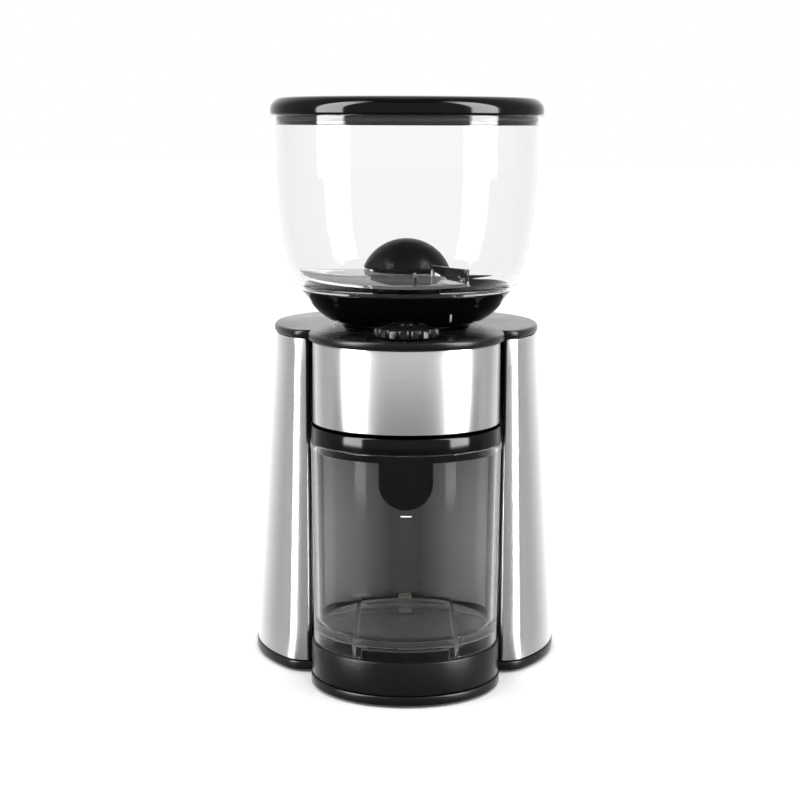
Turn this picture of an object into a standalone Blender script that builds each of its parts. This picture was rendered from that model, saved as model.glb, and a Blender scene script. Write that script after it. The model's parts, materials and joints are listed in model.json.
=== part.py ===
"""Burr coffee grinder: steel-clad body, clear bean hopper on top, clear grounds container in front.

Units are metres, +Z is up, the front faces -Y, and the origin is on the table under the
middle of the body. Every sub-part is its own object with its own material.
"""
import bpy
import bmesh
from math import acos, asin, atan2, cos, pi, radians, sin, sqrt, tan

MM = 0.001
GAP = 0.3 * MM                    # clearance between pieces that rest on each other

# Vertical axes of the mechanism and of the body, as points in plan
BURR = (0.0, -26.0 * MM)
IDLER = (0.0, 11.5 * MM)
MOTOR = (0.0, 41.5 * MM)
LOBE = (0.0, -56.0 * MM)          # round front of the body, and the container
DIAL = (0.0, -82.0 * MM)

# Body outline: a wide plan at the base that narrows to a smaller one at the deck
BASE_Z = 5.9 * MM
DECK_Z = 172.2 * MM
DECK_TOP = 176.3 * MM
# the wings' plan: centre Y of the front curve and of the back curve, their radius,
# and the centre X and radius of the tight front corners
BASE_WING = [length * MM for length in (12.0, 22.0, 78.6, 50.1, 13.0)]
DECK_WING = [length * MM for length in (-12.0, -8.0, 66.8, 48.4, 9.6)]
FRONT_LEAN = 0.06                 # slope of the wings' short front faces
WING_TUCK = 2.0 * MM              # how far the plates' wings start inside the lobe's side
PLATE_MARGIN = 0.4 * MM           # the base plate and the deck stand proud of the skins
DECK_LOBE_R = 48.0 * MM
SKIN_FRONT_X = 48.0 * MM          # inner front edge of each steel skin
SKIN_BACK_X = 44.0 * MM
SKIN_WALL = 0.8 * MM
COVER_WALL = 2.0 * MM

# Base and container bay
PLATE_LOW = 1.0 * MM
PLATE_LOBE_R = 47.2 * MM
FLOOR_Z = 22.0 * MM
PLINTH_R = 46.5 * MM
PLINTH_WALL = 2.2 * MM
BAY_X = 47.6 * MM
BAY_WALL = 1.4 * MM
BAY_FRONT = -41.0 * MM
BAY_TOP = 131.6 * MM
SCREW_POINTS = [(x * MM, y * MM) for x in (-36, 36) for y in (-66, -14)]
FOOT_POINTS = [(-28 * MM, -80 * MM), (28 * MM, -80 * MM), (-48 * MM, 66 * MM), (48 * MM, 66 * MM)]
FOOT_R = 7.0 * MM

# Drive train levels
GEARBOX_LOW = 131.9 * MM
GEARBOX_TOP = 134.4 * MM
WHEEL_LOW, WHEEL_TOP = 135.6 * MM, 139.4 * MM      # motor pinion and large idler wheel
DRIVE_LOW, DRIVE_TOP = 140.1 * MM, 145.0 * MM      # idler pinion and drive gear
CHAMBER_LOW = 146.0 * MM
CHAMBER_FLOOR = 148.2 * MM
CHAMBER_TOP = 163.0 * MM
CHAMBER_R = 29.5 * MM
CHAMBER_WALL = 2.0 * MM
CHUTE_TOP = 156.0 * MM
CHUTE_X = 13.0 * MM
CHUTE_FRONT = -74.0 * MM
CHUTE_BACK = -58.0 * MM
SHAFT_R = 4.0 * MM
BURR_R = 22.0 * MM

# Hopper
HOPPER_WALL = 2.2 * MM
BOWL_LOW = 178.0 * MM
BOWL_WALL = 2.2 * MM
HOPPER_TOP = 280.9 * MM
LID_TOP = 290.0 * MM
LID_R = 68.2 * MM
DOME_R = 21.5 * MM
DOME_CURVE_R = 23.5 * MM

# Grounds container
CUP_LOW = 22.4 * MM
CUP_TOP = 122.5 * MM
CUP_R = 47.1 * MM

ROUND = 32                        # sides of the large round pieces
SMALL = 12                        # sides of pins, bushes and screws

BLACK = (0.012, 0.012, 0.013)
DARK_GREY = (0.06, 0.06, 0.062)
STEEL = (0.62, 0.62, 0.63)
CLEAR = (0.93, 0.95, 0.95)
BRASS = (0.60, 0.45, 0.20)
RUBBER = (0.02, 0.02, 0.02)
NYLON = (0.80, 0.78, 0.70)
COPPER = (0.55, 0.25, 0.12)
BOARD_GREEN = (0.03, 0.16, 0.07)


# ---------------------------------------------------------------- scene and materials

def clear_scene():
    for obj in list(bpy.data.objects):
        bpy.data.objects.remove(obj, do_unlink=True)


def new_collection(name):
    group = bpy.data.collections.new(name)
    bpy.context.scene.collection.children.link(group)
    return group


def make_material(name, colour, roughness, metallic=0.0, alpha=1.0):
    mat = bpy.data.materials.new(name)
    mat.use_nodes = True
    shader = mat.node_tree.nodes["Principled BSDF"]
    shader.inputs["Base Color"].default_value = (*colour, 1.0)
    shader.inputs["Roughness"].default_value = roughness
    shader.inputs["Metallic"].default_value = metallic
    shader.inputs["Alpha"].default_value = alpha
    return mat


clear_scene()
PARTS = new_collection("burr_coffee_grinder")
CUTTERS = new_collection("cutters")

LOOKS = {
    "gloss_black": (BLACK, 0.12),
    "satin_black": (BLACK, 0.35),
    "dark_plastic": (DARK_GREY, 0.45),
    "brushed_steel": (STEEL, 0.30, 1.0),
    "bright_steel": (STEEL, 0.15, 1.0),
    "clear_plastic": (CLEAR, 0.05, 0.0, 0.25),
    "bronze": (BRASS, 0.35, 1.0),
    "rubber": (RUBBER, 0.80),
    "nylon": (NYLON, 0.50),
    "copper": (COPPER, 0.35, 1.0),
    "board": (BOARD_GREEN, 0.50),
}


# ---------------------------------------------------------------- modelling helpers

def add_object(name, mesh, look):
    """Put a mesh in the model, or among the cutters when it has no look."""
    obj = bpy.data.objects.new(name, mesh)
    if look is None:
        obj.hide_render = True
        obj.display_type = "WIRE"
        CUTTERS.objects.link(obj)
        return obj
    mesh.materials.append(make_material(name + "_material", *LOOKS[look]))
    PARTS.objects.link(obj)
    return obj


def turned(name, look, centre, profile, sides=ROUND):
    """Revolve (radius, height) points; the profile runs down its outer side.

    A profile that starts and ends on the axis stays open there, any other is closed."""
    mesh = bpy.data.meshes.new(name)
    count = len(profile)
    on_axis = profile[0][0] == 0.0 and profile[-1][0] == 0.0
    edges = [(i, i + 1) for i in range(count - 1)]
    if not on_axis:
        edges.append((count - 1, 0))
    mesh.from_pydata([(r, 0.0, z) for r, z in profile], edges, [])
    obj = add_object(name, mesh, look)
    obj.location = (centre[0], centre[1], 0.0)
    screw = obj.modifiers.new("turn", "SCREW")
    screw.steps = sides
    screw.render_steps = sides
    screw.use_merge_vertices = True
    screw.merge_threshold = 0.00001
    screw.use_smooth_shade = True
    return obj


def extruded(name, look, outlines, low, high, centre=(0.0, 0.0)):
    """Extrude flat outlines from one height to another; inner outlines are holes."""
    curve = bpy.data.curves.new(name, "CURVE")
    curve.dimensions = "2D"
    curve.fill_mode = "BOTH"
    curve.extrude = (high - low) / 2
    for outline in outlines:
        spline = curve.splines.new("POLY")
        spline.points.add(len(outline) - 1)
        for point, (x, y) in zip(spline.points, outline):
            point.co = (x, y, 0.0, 1.0)
        spline.use_cyclic_u = True
    guide = bpy.data.objects.new(name + "_curve", curve)
    guide.location = (centre[0], centre[1], (low + high) / 2)
    return mesh_from_curve(name, look, guide)


def mesh_from_curve(name, look, guide):
    """Turn a curve object into a welded mesh object in the same place."""
    CUTTERS.objects.link(guide)
    bpy.context.view_layer.update()
    depsgraph = bpy.context.evaluated_depsgraph_get()
    mesh = bpy.data.meshes.new_from_object(guide.evaluated_get(depsgraph))
    place = guide.matrix_world.copy()
    bpy.data.objects.remove(guide, do_unlink=True)
    shape = bmesh.new()
    shape.from_mesh(mesh)
    bmesh.ops.remove_doubles(shape, verts=shape.verts, dist=0.000005)
    bmesh.ops.dissolve_limit(shape, angle_limit=radians(0.5), verts=shape.verts, edges=shape.edges)
    bmesh.ops.recalc_face_normals(shape, faces=shape.faces)
    shape.to_mesh(mesh)
    shape.free()
    mesh.materials.clear()
    obj = add_object(name, mesh, look)
    obj.matrix_world = place
    return obj


def block(name, look, low, high):
    """A box between two corners."""
    mesh = bpy.data.meshes.new(name)
    shape = bmesh.new()
    bmesh.ops.create_cube(shape, size=1.0)
    size = [b - a for a, b in zip(low, high)]
    bmesh.ops.scale(shape, vec=size, verts=shape.verts)
    shape.to_mesh(mesh)
    shape.free()
    obj = add_object(name, mesh, look)
    obj.location = [(a + b) / 2 for a, b in zip(low, high)]
    return obj


def rod(name, look, centre, radius, low, high, sides=SMALL):
    """A plain upright cylinder."""
    mesh = bpy.data.meshes.new(name)
    shape = bmesh.new()
    bmesh.ops.create_cone(shape, cap_ends=True, segments=sides, radius1=radius, radius2=radius,
                          depth=high - low)
    shape.to_mesh(mesh)
    shape.free()
    obj = add_object(name, mesh, look)
    obj.location = (centre[0], centre[1], (low + high) / 2)
    return obj


def tube(name, look, centre, inner, outer, low, high, sides=SMALL):
    """A plain upright sleeve."""
    profile = [(inner, high), (outer, high), (outer, low), (inner, low)]
    return turned(name, look, centre, profile, sides)


def combine(obj, operation, *tools):
    for tool in tools:
        step = obj.modifiers.new(operation.lower(), "BOOLEAN")
        step.operation = operation
        step.solver = "EXACT"
        step.object = tool
    return obj


def cut(obj, *tools):
    return combine(obj, "DIFFERENCE", *tools)


def join(obj, *tools):
    return combine(obj, "UNION", *tools)


def round_edges(obj, width, segments=1):
    bevel = obj.modifiers.new("round", "BEVEL")
    bevel.width = width
    bevel.segments = segments
    bevel.limit_method = "ANGLE"
    bevel.angle_limit = radians(40)
    return obj


# ---------------------------------------------------------------- outlines in plan

def arc(centre, radius, start, end, steps):
    """Points on an arc, angles in radians from +X towards +Y."""
    turns = [start + (end - start) * i / steps for i in range(steps + 1)]
    return [(centre[0] + radius * cos(a), centre[1] + radius * sin(a)) for a in turns]


def ring_sector(centre, inner, outer, start, end, steps):
    return arc(centre, outer, start, end, steps) + arc(centre, inner, end, start, steps)


def wing_side(section, start_x, end_x, grow=0.0):
    """Right side of a wing plan, from its front edge at start_x round to end_x at the back.

    The short front face leans back a little towards start_x."""
    front_y, back_y, radius, corner_x, corner_r = section
    radius += grow
    corner_r += grow
    swing = asin(corner_x / (radius - corner_r))
    corner_y = front_y - (radius - corner_r) * cos(swing)
    corner = arc((corner_x, corner_y), corner_r, -pi / 2, swing - pi / 2, 4)
    front = arc((0.0, front_y), radius, swing - pi / 2, 0.0, 5)
    back = arc((0.0, back_y), radius, 0.0, acos(end_x / radius), 7)
    edge_y = corner_y - corner_r + FRONT_LEAN * (corner_x - start_x)
    return [(start_x, edge_y)] + corner + front[1:] + back


def body_outline(lobe_r, section):
    """The round front lobe with the wings behind it, as one outline."""
    right = wing_side(section, lobe_r - WING_TUCK, 0.0, PLATE_MARGIN)
    meet_y = right[0][1] - LOBE[1]
    right[0] = (sqrt(lobe_r ** 2 - meet_y ** 2), right[0][1])
    lobe_angle = atan2(meet_y, right[0][0])
    left = [(-x, y) for x, y in reversed(right[:-1])]
    return right + left + arc(LOBE, lobe_r, -pi - lobe_angle, lobe_angle, 18)[1:-1]


def bay_outline(radius, back, corner):
    """The round front lobe with straight sides running back to two rounded corners."""
    front = arc(LOBE, radius, -pi, 0.0, 20)
    right = arc((radius - corner, back - corner), corner, 0.0, pi / 2, 5)
    left = arc((corner - radius, back - corner), corner, pi / 2, pi, 5)
    return front + right + left


# ---------------------------------------------------------------- involute gears

def involute_gear(name, look, centre, teeth, module, low, high, bore, turn=0.0):
    """A spur gear with involute flanks at a 25 degree pressure angle."""
    pressure = radians(25)
    backlash = 0.25 * MM
    pitch_r = teeth * module / 2
    base_r = pitch_r * cos(pressure)
    tip_r = pitch_r + 0.9 * module
    root_r = pitch_r - 1.2 * module
    half_tooth = pi / 2 / teeth - backlash / 2 / pitch_r
    involute_at_pitch = tan(pressure) - pressure

    def flank_angle(radius):
        if radius <= base_r:
            return half_tooth + involute_at_pitch
        lean = sqrt((radius / base_r) ** 2 - 1)
        return half_tooth + involute_at_pitch - (lean - atan2(lean, 1))

    radii = [root_r, pitch_r, tip_r]
    outline = []
    for tooth in range(teeth):
        middle = turn + 2 * pi * tooth / teeth
        for radius in radii:
            outline.append((radius, middle - flank_angle(radius)))
        for radius in reversed(radii):
            outline.append((radius, middle + flank_angle(radius)))
    points = [(r * cos(a), r * sin(a)) for r, a in outline]
    hole = arc((0.0, 0.0), bore, 0.0, 2 * pi * (1 - 1 / SMALL), SMALL - 1)
    return extruded(name, look, [points, hole], low, high, centre)


# ---------------------------------------------------------------- cladding shells

def wing_section(z):
    """The wings' plan at a height."""
    t = (z - BASE_Z) / (DECK_Z - BASE_Z)
    return [low + (high - low) * t for low, high in zip(BASE_WING, DECK_WING)]


def clad_sheet(name, look, rows, wall, flip=False):
    """A tapering sheet between a lower and an upper row of points, with its wall inside."""
    mesh = bpy.data.meshes.new(name)
    shape = bmesh.new()
    lower, upper = [[shape.verts.new(point) for point in row] for row in rows]
    for i in range(len(lower) - 1):
        quad = (lower[i], lower[i + 1], upper[i + 1], upper[i])
        shape.faces.new(tuple(reversed(quad)) if flip else quad)
    bmesh.ops.triangulate(shape, faces=shape.faces)
    shape.to_mesh(mesh)
    shape.free()
    mesh.shade_smooth()
    obj = add_object(name, mesh, look)
    solid = obj.modifiers.new("wall", "SOLIDIFY")
    solid.thickness = wall
    solid.offset = -1.0
    solid.use_even_offset = True
    return obj


# ---------------------------------------------------------------- base

def make_base():
    plate = extruded("base_plate", "satin_black",
                     [body_outline(PLATE_LOBE_R, BASE_WING)], PLATE_LOW, BASE_Z - GAP)
    round_edges(plate, 0.8 * MM)
    pocket_depth = 2.5 * MM
    for number, (x, y) in enumerate(FOOT_POINTS, 1):
        pocket = rod(f"foot_pocket_{number}", None, (x, y), FOOT_R + 0.4 * MM, PLATE_LOW - MM,
                     PLATE_LOW + pocket_depth)
        cut(plate, pocket)
        foot = rod(f"foot_{number}", "rubber", (x, y), FOOT_R, 0.0, PLATE_LOW + pocket_depth - GAP)
        round_edges(foot, 0.5 * MM)

    corner = 8.2 * MM
    back = -1.0 * MM
    outer = bay_outline(PLINTH_R, back, corner)
    inner = bay_outline(PLINTH_R - PLINTH_WALL, back - PLINTH_WALL, corner - PLINTH_WALL)
    plinth = extruded("base_plinth", "satin_black", [outer], BASE_Z, FLOOR_Z)
    hollow = extruded("plinth_hollow", None, [inner], BASE_Z - MM, FLOOR_Z - PLINTH_WALL)
    cut(plinth, hollow)

    head_low, head_top = 1.6 * MM, 3.4 * MM
    for number, (x, y) in enumerate(SCREW_POINTS, 1):
        boss = rod(f"plinth_boss_{number}", None, (x, y), 4.6 * MM, BASE_Z, FLOOR_Z - MM)
        bore = rod(f"boss_bore_{number}", None, (x, y), 1.8 * MM, BASE_Z - MM, 18 * MM)
        join(plinth, boss)
        cut(plinth, bore)
        well = rod(f"screw_well_{number}", None, (x, y), 3.6 * MM, 0.0, head_top + GAP)
        hole = rod(f"screw_hole_{number}", None, (x, y), 1.8 * MM, 0.0, 10 * MM)
        cut(plate, well, hole)
        turned(f"base_screw_{number}", "bright_steel", (x, y),
               [(0.0, 15 * MM), (1.0 * MM, 15 * MM), (1.5 * MM, 14 * MM), (1.5 * MM, head_top),
                (3.2 * MM, head_top), (3.2 * MM, head_low + 0.5 * MM), (2.6 * MM, head_low),
                (0.0, head_low)], SMALL)


def make_bay():
    """The wall that wraps the container on three sides."""
    corner_r = 9 * MM
    back = 0.0
    inner = [(BAY_X, BAY_FRONT)]
    inner += arc((BAY_X - corner_r, back - corner_r), corner_r, 0.0, pi / 2, 6)
    inner += arc((-BAY_X + corner_r, back - corner_r), corner_r, pi / 2, pi, 6)
    inner += [(-BAY_X, BAY_FRONT)]
    grown = corner_r + BAY_WALL
    outer = [(-BAY_X - BAY_WALL, BAY_FRONT)]
    outer += arc((-BAY_X + corner_r, back - corner_r), grown, pi, pi / 2, 6)
    outer += arc((BAY_X - corner_r, back - corner_r), grown, pi / 2, 0.0, 6)
    outer += [(BAY_X + BAY_WALL, BAY_FRONT)]
    bay = extruded("bay_wall", "dark_plastic", [inner + outer], BASE_Z, BAY_TOP)
    window = block("plunger_window", None, (-4.2 * MM, -2 * MM, 22.5 * MM), (4.2 * MM, 6 * MM, 28.2 * MM))
    cut(bay, window)

    plunger = block("interlock_plunger", "nylon", (-3.6 * MM, -9.6 * MM, 23.0 * MM),
                    (3.6 * MM, 4.4 * MM, 27.6 * MM))
    for number in range(3):
        y = (-8.4 + 2.4 * number) * MM
        slot = block(f"plunger_slot_{number}", None, (-5 * MM, y, 26.6 * MM), (5 * MM, y + 1.1 * MM, 29 * MM))
        cut(plunger, slot)
    block("container_switch", "gloss_black", (-6.5 * MM, 7.0 * MM, 22.6 * MM), (6.5 * MM, 14.0 * MM, 34 * MM))


# ---------------------------------------------------------------- upper body

def make_upper_body():
    deck = extruded("top_deck", "satin_black",
                    [body_outline(DECK_LOBE_R, DECK_WING)], DECK_Z, DECK_TOP)
    round_edges(deck, 1.4 * MM, 2)
    collar_hole = rod("deck_collar_hole", None, BURR, 32.0 * MM, DECK_Z - MM, DECK_TOP + MM, ROUND)
    dial_hole = rod("deck_dial_hole", None, DIAL, 4.0 * MM, DECK_Z - MM, DECK_TOP + MM)
    cut(deck, collar_hole, dial_hole)

    core_r, core_x, core_wall = 45.2 * MM, 48.4 * MM, 2.0 * MM
    core_back = -1.0 * MM
    shoulder = LOBE[1] + 6 * MM
    front = arc(LOBE, core_r, -pi, 0.0, 22)
    outer = front + [(core_r, shoulder), (core_x, shoulder + 2 * MM), (core_x, core_back)]
    inner = [(core_x - core_wall, core_back), (core_x - core_wall, shoulder + 3 * MM)]
    inner += [(core_r - core_wall, shoulder + MM)]
    inner += list(reversed(arc(LOBE, core_r - core_wall, -pi, 0.0, 22)))
    inner += [(-core_r + core_wall, shoulder + MM), (-core_x + core_wall, shoulder + 3 * MM)]
    inner += [(-core_x + core_wall, core_back)]
    left_side = [(-core_x, core_back), (-core_x, shoulder + 2 * MM), (-core_r, shoulder)]
    extruded("panel_core", "gloss_black", [outer + inner + left_side], GEARBOX_LOW, DECK_Z - GAP)

    panel_r, panel_wall, panel_end = 46.1 * MM, 0.6 * MM, radians(88)
    band = ring_sector(LOBE, panel_r - panel_wall, panel_r, -pi / 2 - panel_end, -pi / 2 + panel_end, 24)
    extruded("front_panel", "brushed_steel", [band], GEARBOX_LOW + 0.4 * MM, DECK_Z - GAP)


def sheet_heights(wall):
    """A sloping wall's inner rim sits lower than its outer rim, so it starts a little higher."""
    return BASE_Z + wall * 0.3, DECK_Z - GAP


def skin_rows(side):
    rows = []
    for z in sheet_heights(SKIN_WALL):
        side_points = wing_side(wing_section(z), SKIN_FRONT_X, SKIN_BACK_X)
        rows.append([(side * x, y, z) for x, y in side_points])
    return rows


def cover_rows(edge_x):
    rows = []
    for z in sheet_heights(COVER_WALL):
        back_y, radius = wing_section(z)[1:3]
        turn = acos(edge_x / radius)
        rows.append([(x, y, z) for x, y in arc((0.0, back_y), radius, turn, pi - turn, 12)])
    return rows


def make_cladding():
    clad_sheet("left_skin", "brushed_steel", skin_rows(-1), SKIN_WALL, True)
    clad_sheet("right_skin", "brushed_steel", skin_rows(1), SKIN_WALL)
    cover = clad_sheet("back_cover", "satin_black", cover_rows(SKIN_BACK_X - 0.5 * MM), COVER_WALL)
    slot_x, slot_height, slot_pitch = 24 * MM, 2.4 * MM, 7 * MM
    for number in range(5):
        z = 122 * MM + slot_pitch * number
        slot = block(f"vent_slot_{number}", None, (-slot_x, 40 * MM, z), (slot_x, 110 * MM, z + slot_height))
        cut(cover, slot)
    gland_z = 15 * MM
    hole = rod("gland_hole", None, (0.0, 0.0), 5.4 * MM, -12 * MM, 12 * MM)
    hole.location = (0.0, 96 * MM, gland_z)
    hole.rotation_euler = (pi / 2, 0.0, 0.0)
    cut(cover, hole)
    gland = turned("cord_gland", "rubber", (0.0, 0.0),
                   [(3.4 * MM, 0.0), (4.6 * MM, 0.0), (5.0 * MM, -0.5 * MM), (5.0 * MM, -10.6 * MM),
                    (7.4 * MM, -10.6 * MM), (7.4 * MM, -12.6 * MM), (3.4 * MM, -12.6 * MM)], SMALL)
    gland.location = (0.0, 104.0 * MM, gland_z)
    gland.rotation_euler = (-pi / 2, 0.0, 0.0)


# ---------------------------------------------------------------- motor and gears

def make_gearbox():
    plate = extruded("gearbox_plate", "dark_plastic", [bay_outline(42.9 * MM, 62 * MM, 30 * MM)],
                     GEARBOX_LOW, GEARBOX_TOP)
    low, high = GEARBOX_LOW - MM, GEARBOX_TOP + MM
    for name, centre, radius in (("bush_seat", BURR, 6.8 * MM), ("pin_seat", IDLER, 2.4 * MM),
                                 ("motor_nose_seat", MOTOR, 4.4 * MM)):
        cut(plate, rod(name, None, centre, radius, low, high))
    slack = 0.4 * MM
    cut(plate, block("chute_seat", None, (-CHUTE_X - slack, CHUTE_FRONT - slack, low),
                     (CHUTE_X + slack, CHUTE_BACK + slack, high)))
    for number, x in enumerate((-12 * MM, 12 * MM), 1):
        spot = (x, MOTOR[1] + 4 * MM)
        cut(plate, rod(f"motor_screw_hole_{number}", None, spot, 1.8 * MM, low, high))
        turned(f"motor_screw_{number}", "bright_steel", spot,
               [(0.0, 136.4 * MM), (2.4 * MM, 136.4 * MM), (2.8 * MM, 136.0 * MM), (2.8 * MM, 134.7 * MM),
                (1.4 * MM, 134.7 * MM), (1.4 * MM, 127 * MM), (0.0, 127 * MM)], SMALL)

    tube("lower_bush", "bronze", BURR, SHAFT_R + GAP, 6.5 * MM, GEARBOX_LOW, 138.6 * MM)
    tube("upper_bush", "bronze", BURR, SHAFT_R + GAP, 6.5 * MM, DRIVE_TOP + GAP, CHAMBER_FLOOR + 0.5 * MM)
    rod("idler_pin", "bright_steel", IDLER, 2.1 * MM, GEARBOX_LOW + GAP, CHAMBER_LOW - 0.6 * MM)

    involute_gear("drive_gear", "nylon", BURR, 40, 1.5 * MM, DRIVE_LOW, DRIVE_TOP, SHAFT_R + GAP,
                  pi / 2)
    idler = involute_gear("idler_gear", "nylon", IDLER, 40, 1.2 * MM, WHEEL_LOW, WHEEL_TOP, 2.4 * MM,
                          pi / 2)
    pinion = involute_gear("idler_pinion_shape", None, IDLER, 10, 1.5 * MM, WHEEL_TOP - 0.4 * MM,
                           DRIVE_TOP, 2.4 * MM, -pi / 2 + pi / 10)
    join(idler, pinion)
    involute_gear("motor_pinion", "bronze", MOTOR, 10, 1.2 * MM, WHEEL_LOW, WHEEL_TOP, 1.6 * MM + GAP,
                  -pi / 2 + pi / 10)


def make_motor():
    can_r, can_wall = 24 * MM, 1.2 * MM
    can_low, can_top = 66 * MM, GEARBOX_LOW - GAP
    nose_r, shaft_r = 4.0 * MM, 1.6 * MM
    can = turned("motor_can", "bright_steel", MOTOR,
                 [(shaft_r + 0.4 * MM, 134.0 * MM), (nose_r, 134.0 * MM), (nose_r, can_top), (can_r - MM, can_top),
                  (can_r, can_top - MM), (can_r, can_low), (can_r - can_wall, can_low),
                  (can_r - can_wall, can_top - 1.6 * MM), (shaft_r + 0.4 * MM, can_top - 1.6 * MM)], 20)
    for number, x in enumerate((-12 * MM, 12 * MM), 1):
        cut(can, rod(f"can_screw_hole_{number}", None, (x, MOTOR[1] + 4 * MM), 1.8 * MM, 120 * MM, 133 * MM))
    plug_r = can_r - can_wall - GAP
    turned("motor_end_cap", "gloss_black", MOTOR,
           [(2.0 * MM, 67.5 * MM), (plug_r, 67.5 * MM), (plug_r, can_low - GAP), (can_r, can_low - GAP),
            (can_r, 63 * MM), (7 * MM, 63 * MM), (7 * MM, 60 * MM), (2.0 * MM, 60 * MM)], 20)
    turned("motor_armature", "copper", MOTOR,
           [(0.0, 140.0 * MM), (shaft_r, 140.0 * MM), (shaft_r, 116 * MM), (12 * MM, 114 * MM),
            (15 * MM, 110 * MM), (15 * MM, 82 * MM), (11 * MM, 79 * MM), (6 * MM, 78 * MM), (6 * MM, 70 * MM),
            (shaft_r, 69 * MM), (shaft_r, 59 * MM), (0.0, 59 * MM)], 16)
    for name, middle in (("left_magnet", pi), ("right_magnet", 0.0)):
        half = radians(55)
        band = ring_sector((0.0, 0.0), 16.0 * MM, 22.3 * MM, middle - half, middle + half, 10)
        extruded(name, "dark_plastic", [band], 80 * MM, 112 * MM, MOTOR)


# ---------------------------------------------------------------- grinding head

def make_chamber():
    outer = CHAMBER_R + CHAMBER_WALL
    flange_r = 39.5 * MM
    chamber = turned("grinding_chamber", "dark_plastic", BURR,
                     [(CHAMBER_R, CHAMBER_TOP), (outer, CHAMBER_TOP), (outer, CHAMBER_FLOOR),
                      (flange_r, CHAMBER_FLOOR), (flange_r, CHAMBER_LOW), (6.8 * MM, CHAMBER_LOW),
                      (6.8 * MM, CHAMBER_FLOOR), (CHAMBER_R, CHAMBER_FLOOR)])
    slack = 0.4 * MM
    cut(chamber, block("chute_notch", None, (-CHUTE_X - slack, -90 * MM, CHAMBER_LOW - MM),
                       (CHUTE_X + slack, CHUTE_BACK + GAP, CHUTE_TOP + MM)))
    cut(chamber, block("chamber_outlet", None, (-9 * MM, -63 * MM, CHAMBER_FLOOR + 0.2 * MM),
                       (9 * MM, -49 * MM, 155 * MM)))
    for number, (x, y) in enumerate(((-29, -5), (29, -5), (-33, -43), (33, -43)), 1):
        join(chamber, rod(f"chamber_post_{number}", None, (x * MM, y * MM), 3.2 * MM, GEARBOX_TOP + GAP,
                          CHAMBER_FLOOR - 0.5 * MM, 12))

    chute = block("chute", "gloss_black", (-CHUTE_X, CHUTE_FRONT, GEARBOX_LOW),
                  (CHUTE_X, CHUTE_BACK, CHUTE_TOP))
    wall = 1.8 * MM
    passage = block("chute_passage", None, (-CHUTE_X + wall, CHUTE_FRONT + wall, GEARBOX_LOW - MM),
                    (CHUTE_X - wall, CHUTE_BACK - wall, CHUTE_TOP - wall))
    window = block("chute_window", None, (-9 * MM, -66 * MM, CHAMBER_FLOOR + 0.2 * MM),
                   (9 * MM, -51 * MM, 153.8 * MM))
    cut(chute, passage, window)


def burr_teeth(name, low, high):
    """Radial grooves that leave the cutting teeth of a disc burr."""
    grooves = []
    for number in range(8):
        groove = block(f"{name}_groove_{number}", None, (13 * MM, -0.9 * MM, low), (25 * MM, 0.9 * MM, high))
        turn = 2 * pi * number / 8
        middle = 19 * MM
        groove.location = (BURR[0] + middle * cos(turn), BURR[1] + middle * sin(turn), (low + high) / 2)
        groove.rotation_euler = (0.0, 0.0, turn + radians(24))
        grooves.append(groove)
    return grooves


def make_burrs():
    turned("drive_shaft", "bright_steel", BURR,
           [(0.0, 158.6 * MM), (SHAFT_R - 0.5 * MM, 158.6 * MM), (SHAFT_R, 158.1 * MM),
            (SHAFT_R, GEARBOX_LOW + MM), (0.0, GEARBOX_LOW + MM)], SMALL)
    hub_low, hub_top = 149.4 * MM, 153.1 * MM
    hub = tube("burr_hub", "dark_plastic", BURR, SHAFT_R + GAP, 21.8 * MM, hub_low, hub_top, 24)
    for number in range(3):
        paddle = block(f"hub_paddle_{number}", None, (0, 0, 0), (17 * MM, 3 * MM, 3 * MM))
        turn = 2 * pi * number / 3
        paddle.location = (BURR[0] + 20 * MM * cos(turn), BURR[1] + 20 * MM * sin(turn), hub_low + 1.6 * MM)
        paddle.rotation_euler = (0.0, 0.0, turn)
        join(hub, paddle)
    lower_low, lower_top = hub_top + GAP, 156.6 * MM
    lower = tube("lower_burr", "bright_steel", BURR, 6 * MM, BURR_R, lower_low, lower_top, 24)
    cut(lower, *burr_teeth("lower", lower_top - 1.0 * MM, lower_top + MM))
    upper_low, upper_top = 157.5 * MM, 160.3 * MM
    upper = tube("upper_burr", "bright_steel", BURR, 11.5 * MM, BURR_R, upper_low, upper_top, 24)
    cut(upper, *burr_teeth("upper", upper_low - MM, upper_low + 1.0 * MM))
    turned("upper_burr_carrier", "satin_black", BURR,
           [(11.5 * MM, 164.0 * MM), (24 * MM, 164.0 * MM), (24 * MM, 166.2 * MM), (29.1 * MM, 166.2 * MM),
            (29.1 * MM, upper_top + GAP), (11.5 * MM, upper_top + GAP)])

    screw = turned("feed_screw", "dark_plastic", BURR,
                   [(0.0, 178 * MM), (2.0 * MM, 177.4 * MM), (3.2 * MM, 162 * MM), (5.6 * MM, 160.4 * MM),
                    (5.6 * MM, 158.9 * MM), (0.0, 158.9 * MM)], SMALL)
    for number in range(3):
        blade = block(f"feed_blade_{number}", None, (-8.4 * MM, -0.9 * MM, -2.4 * MM),
                      (8.4 * MM, 0.9 * MM, 2.4 * MM))
        blade.location = (BURR[0], BURR[1], (163.5 + 4.2 * number) * MM)
        blade.rotation_euler = (0.0, 0.0, radians(50 * number))
        join(screw, blade)

    turned("adjuster_ring", "dark_plastic", BURR,
           [(31.6 * MM, 171.6 * MM), (37 * MM, 171.6 * MM), (37 * MM, 157 * MM), (31.9 * MM, 157 * MM),
            (31.9 * MM, 166.9 * MM), (20 * MM, 166.9 * MM), (20 * MM, 169.2 * MM), (31.6 * MM, 169.2 * MM)])


# ---------------------------------------------------------------- controls

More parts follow.
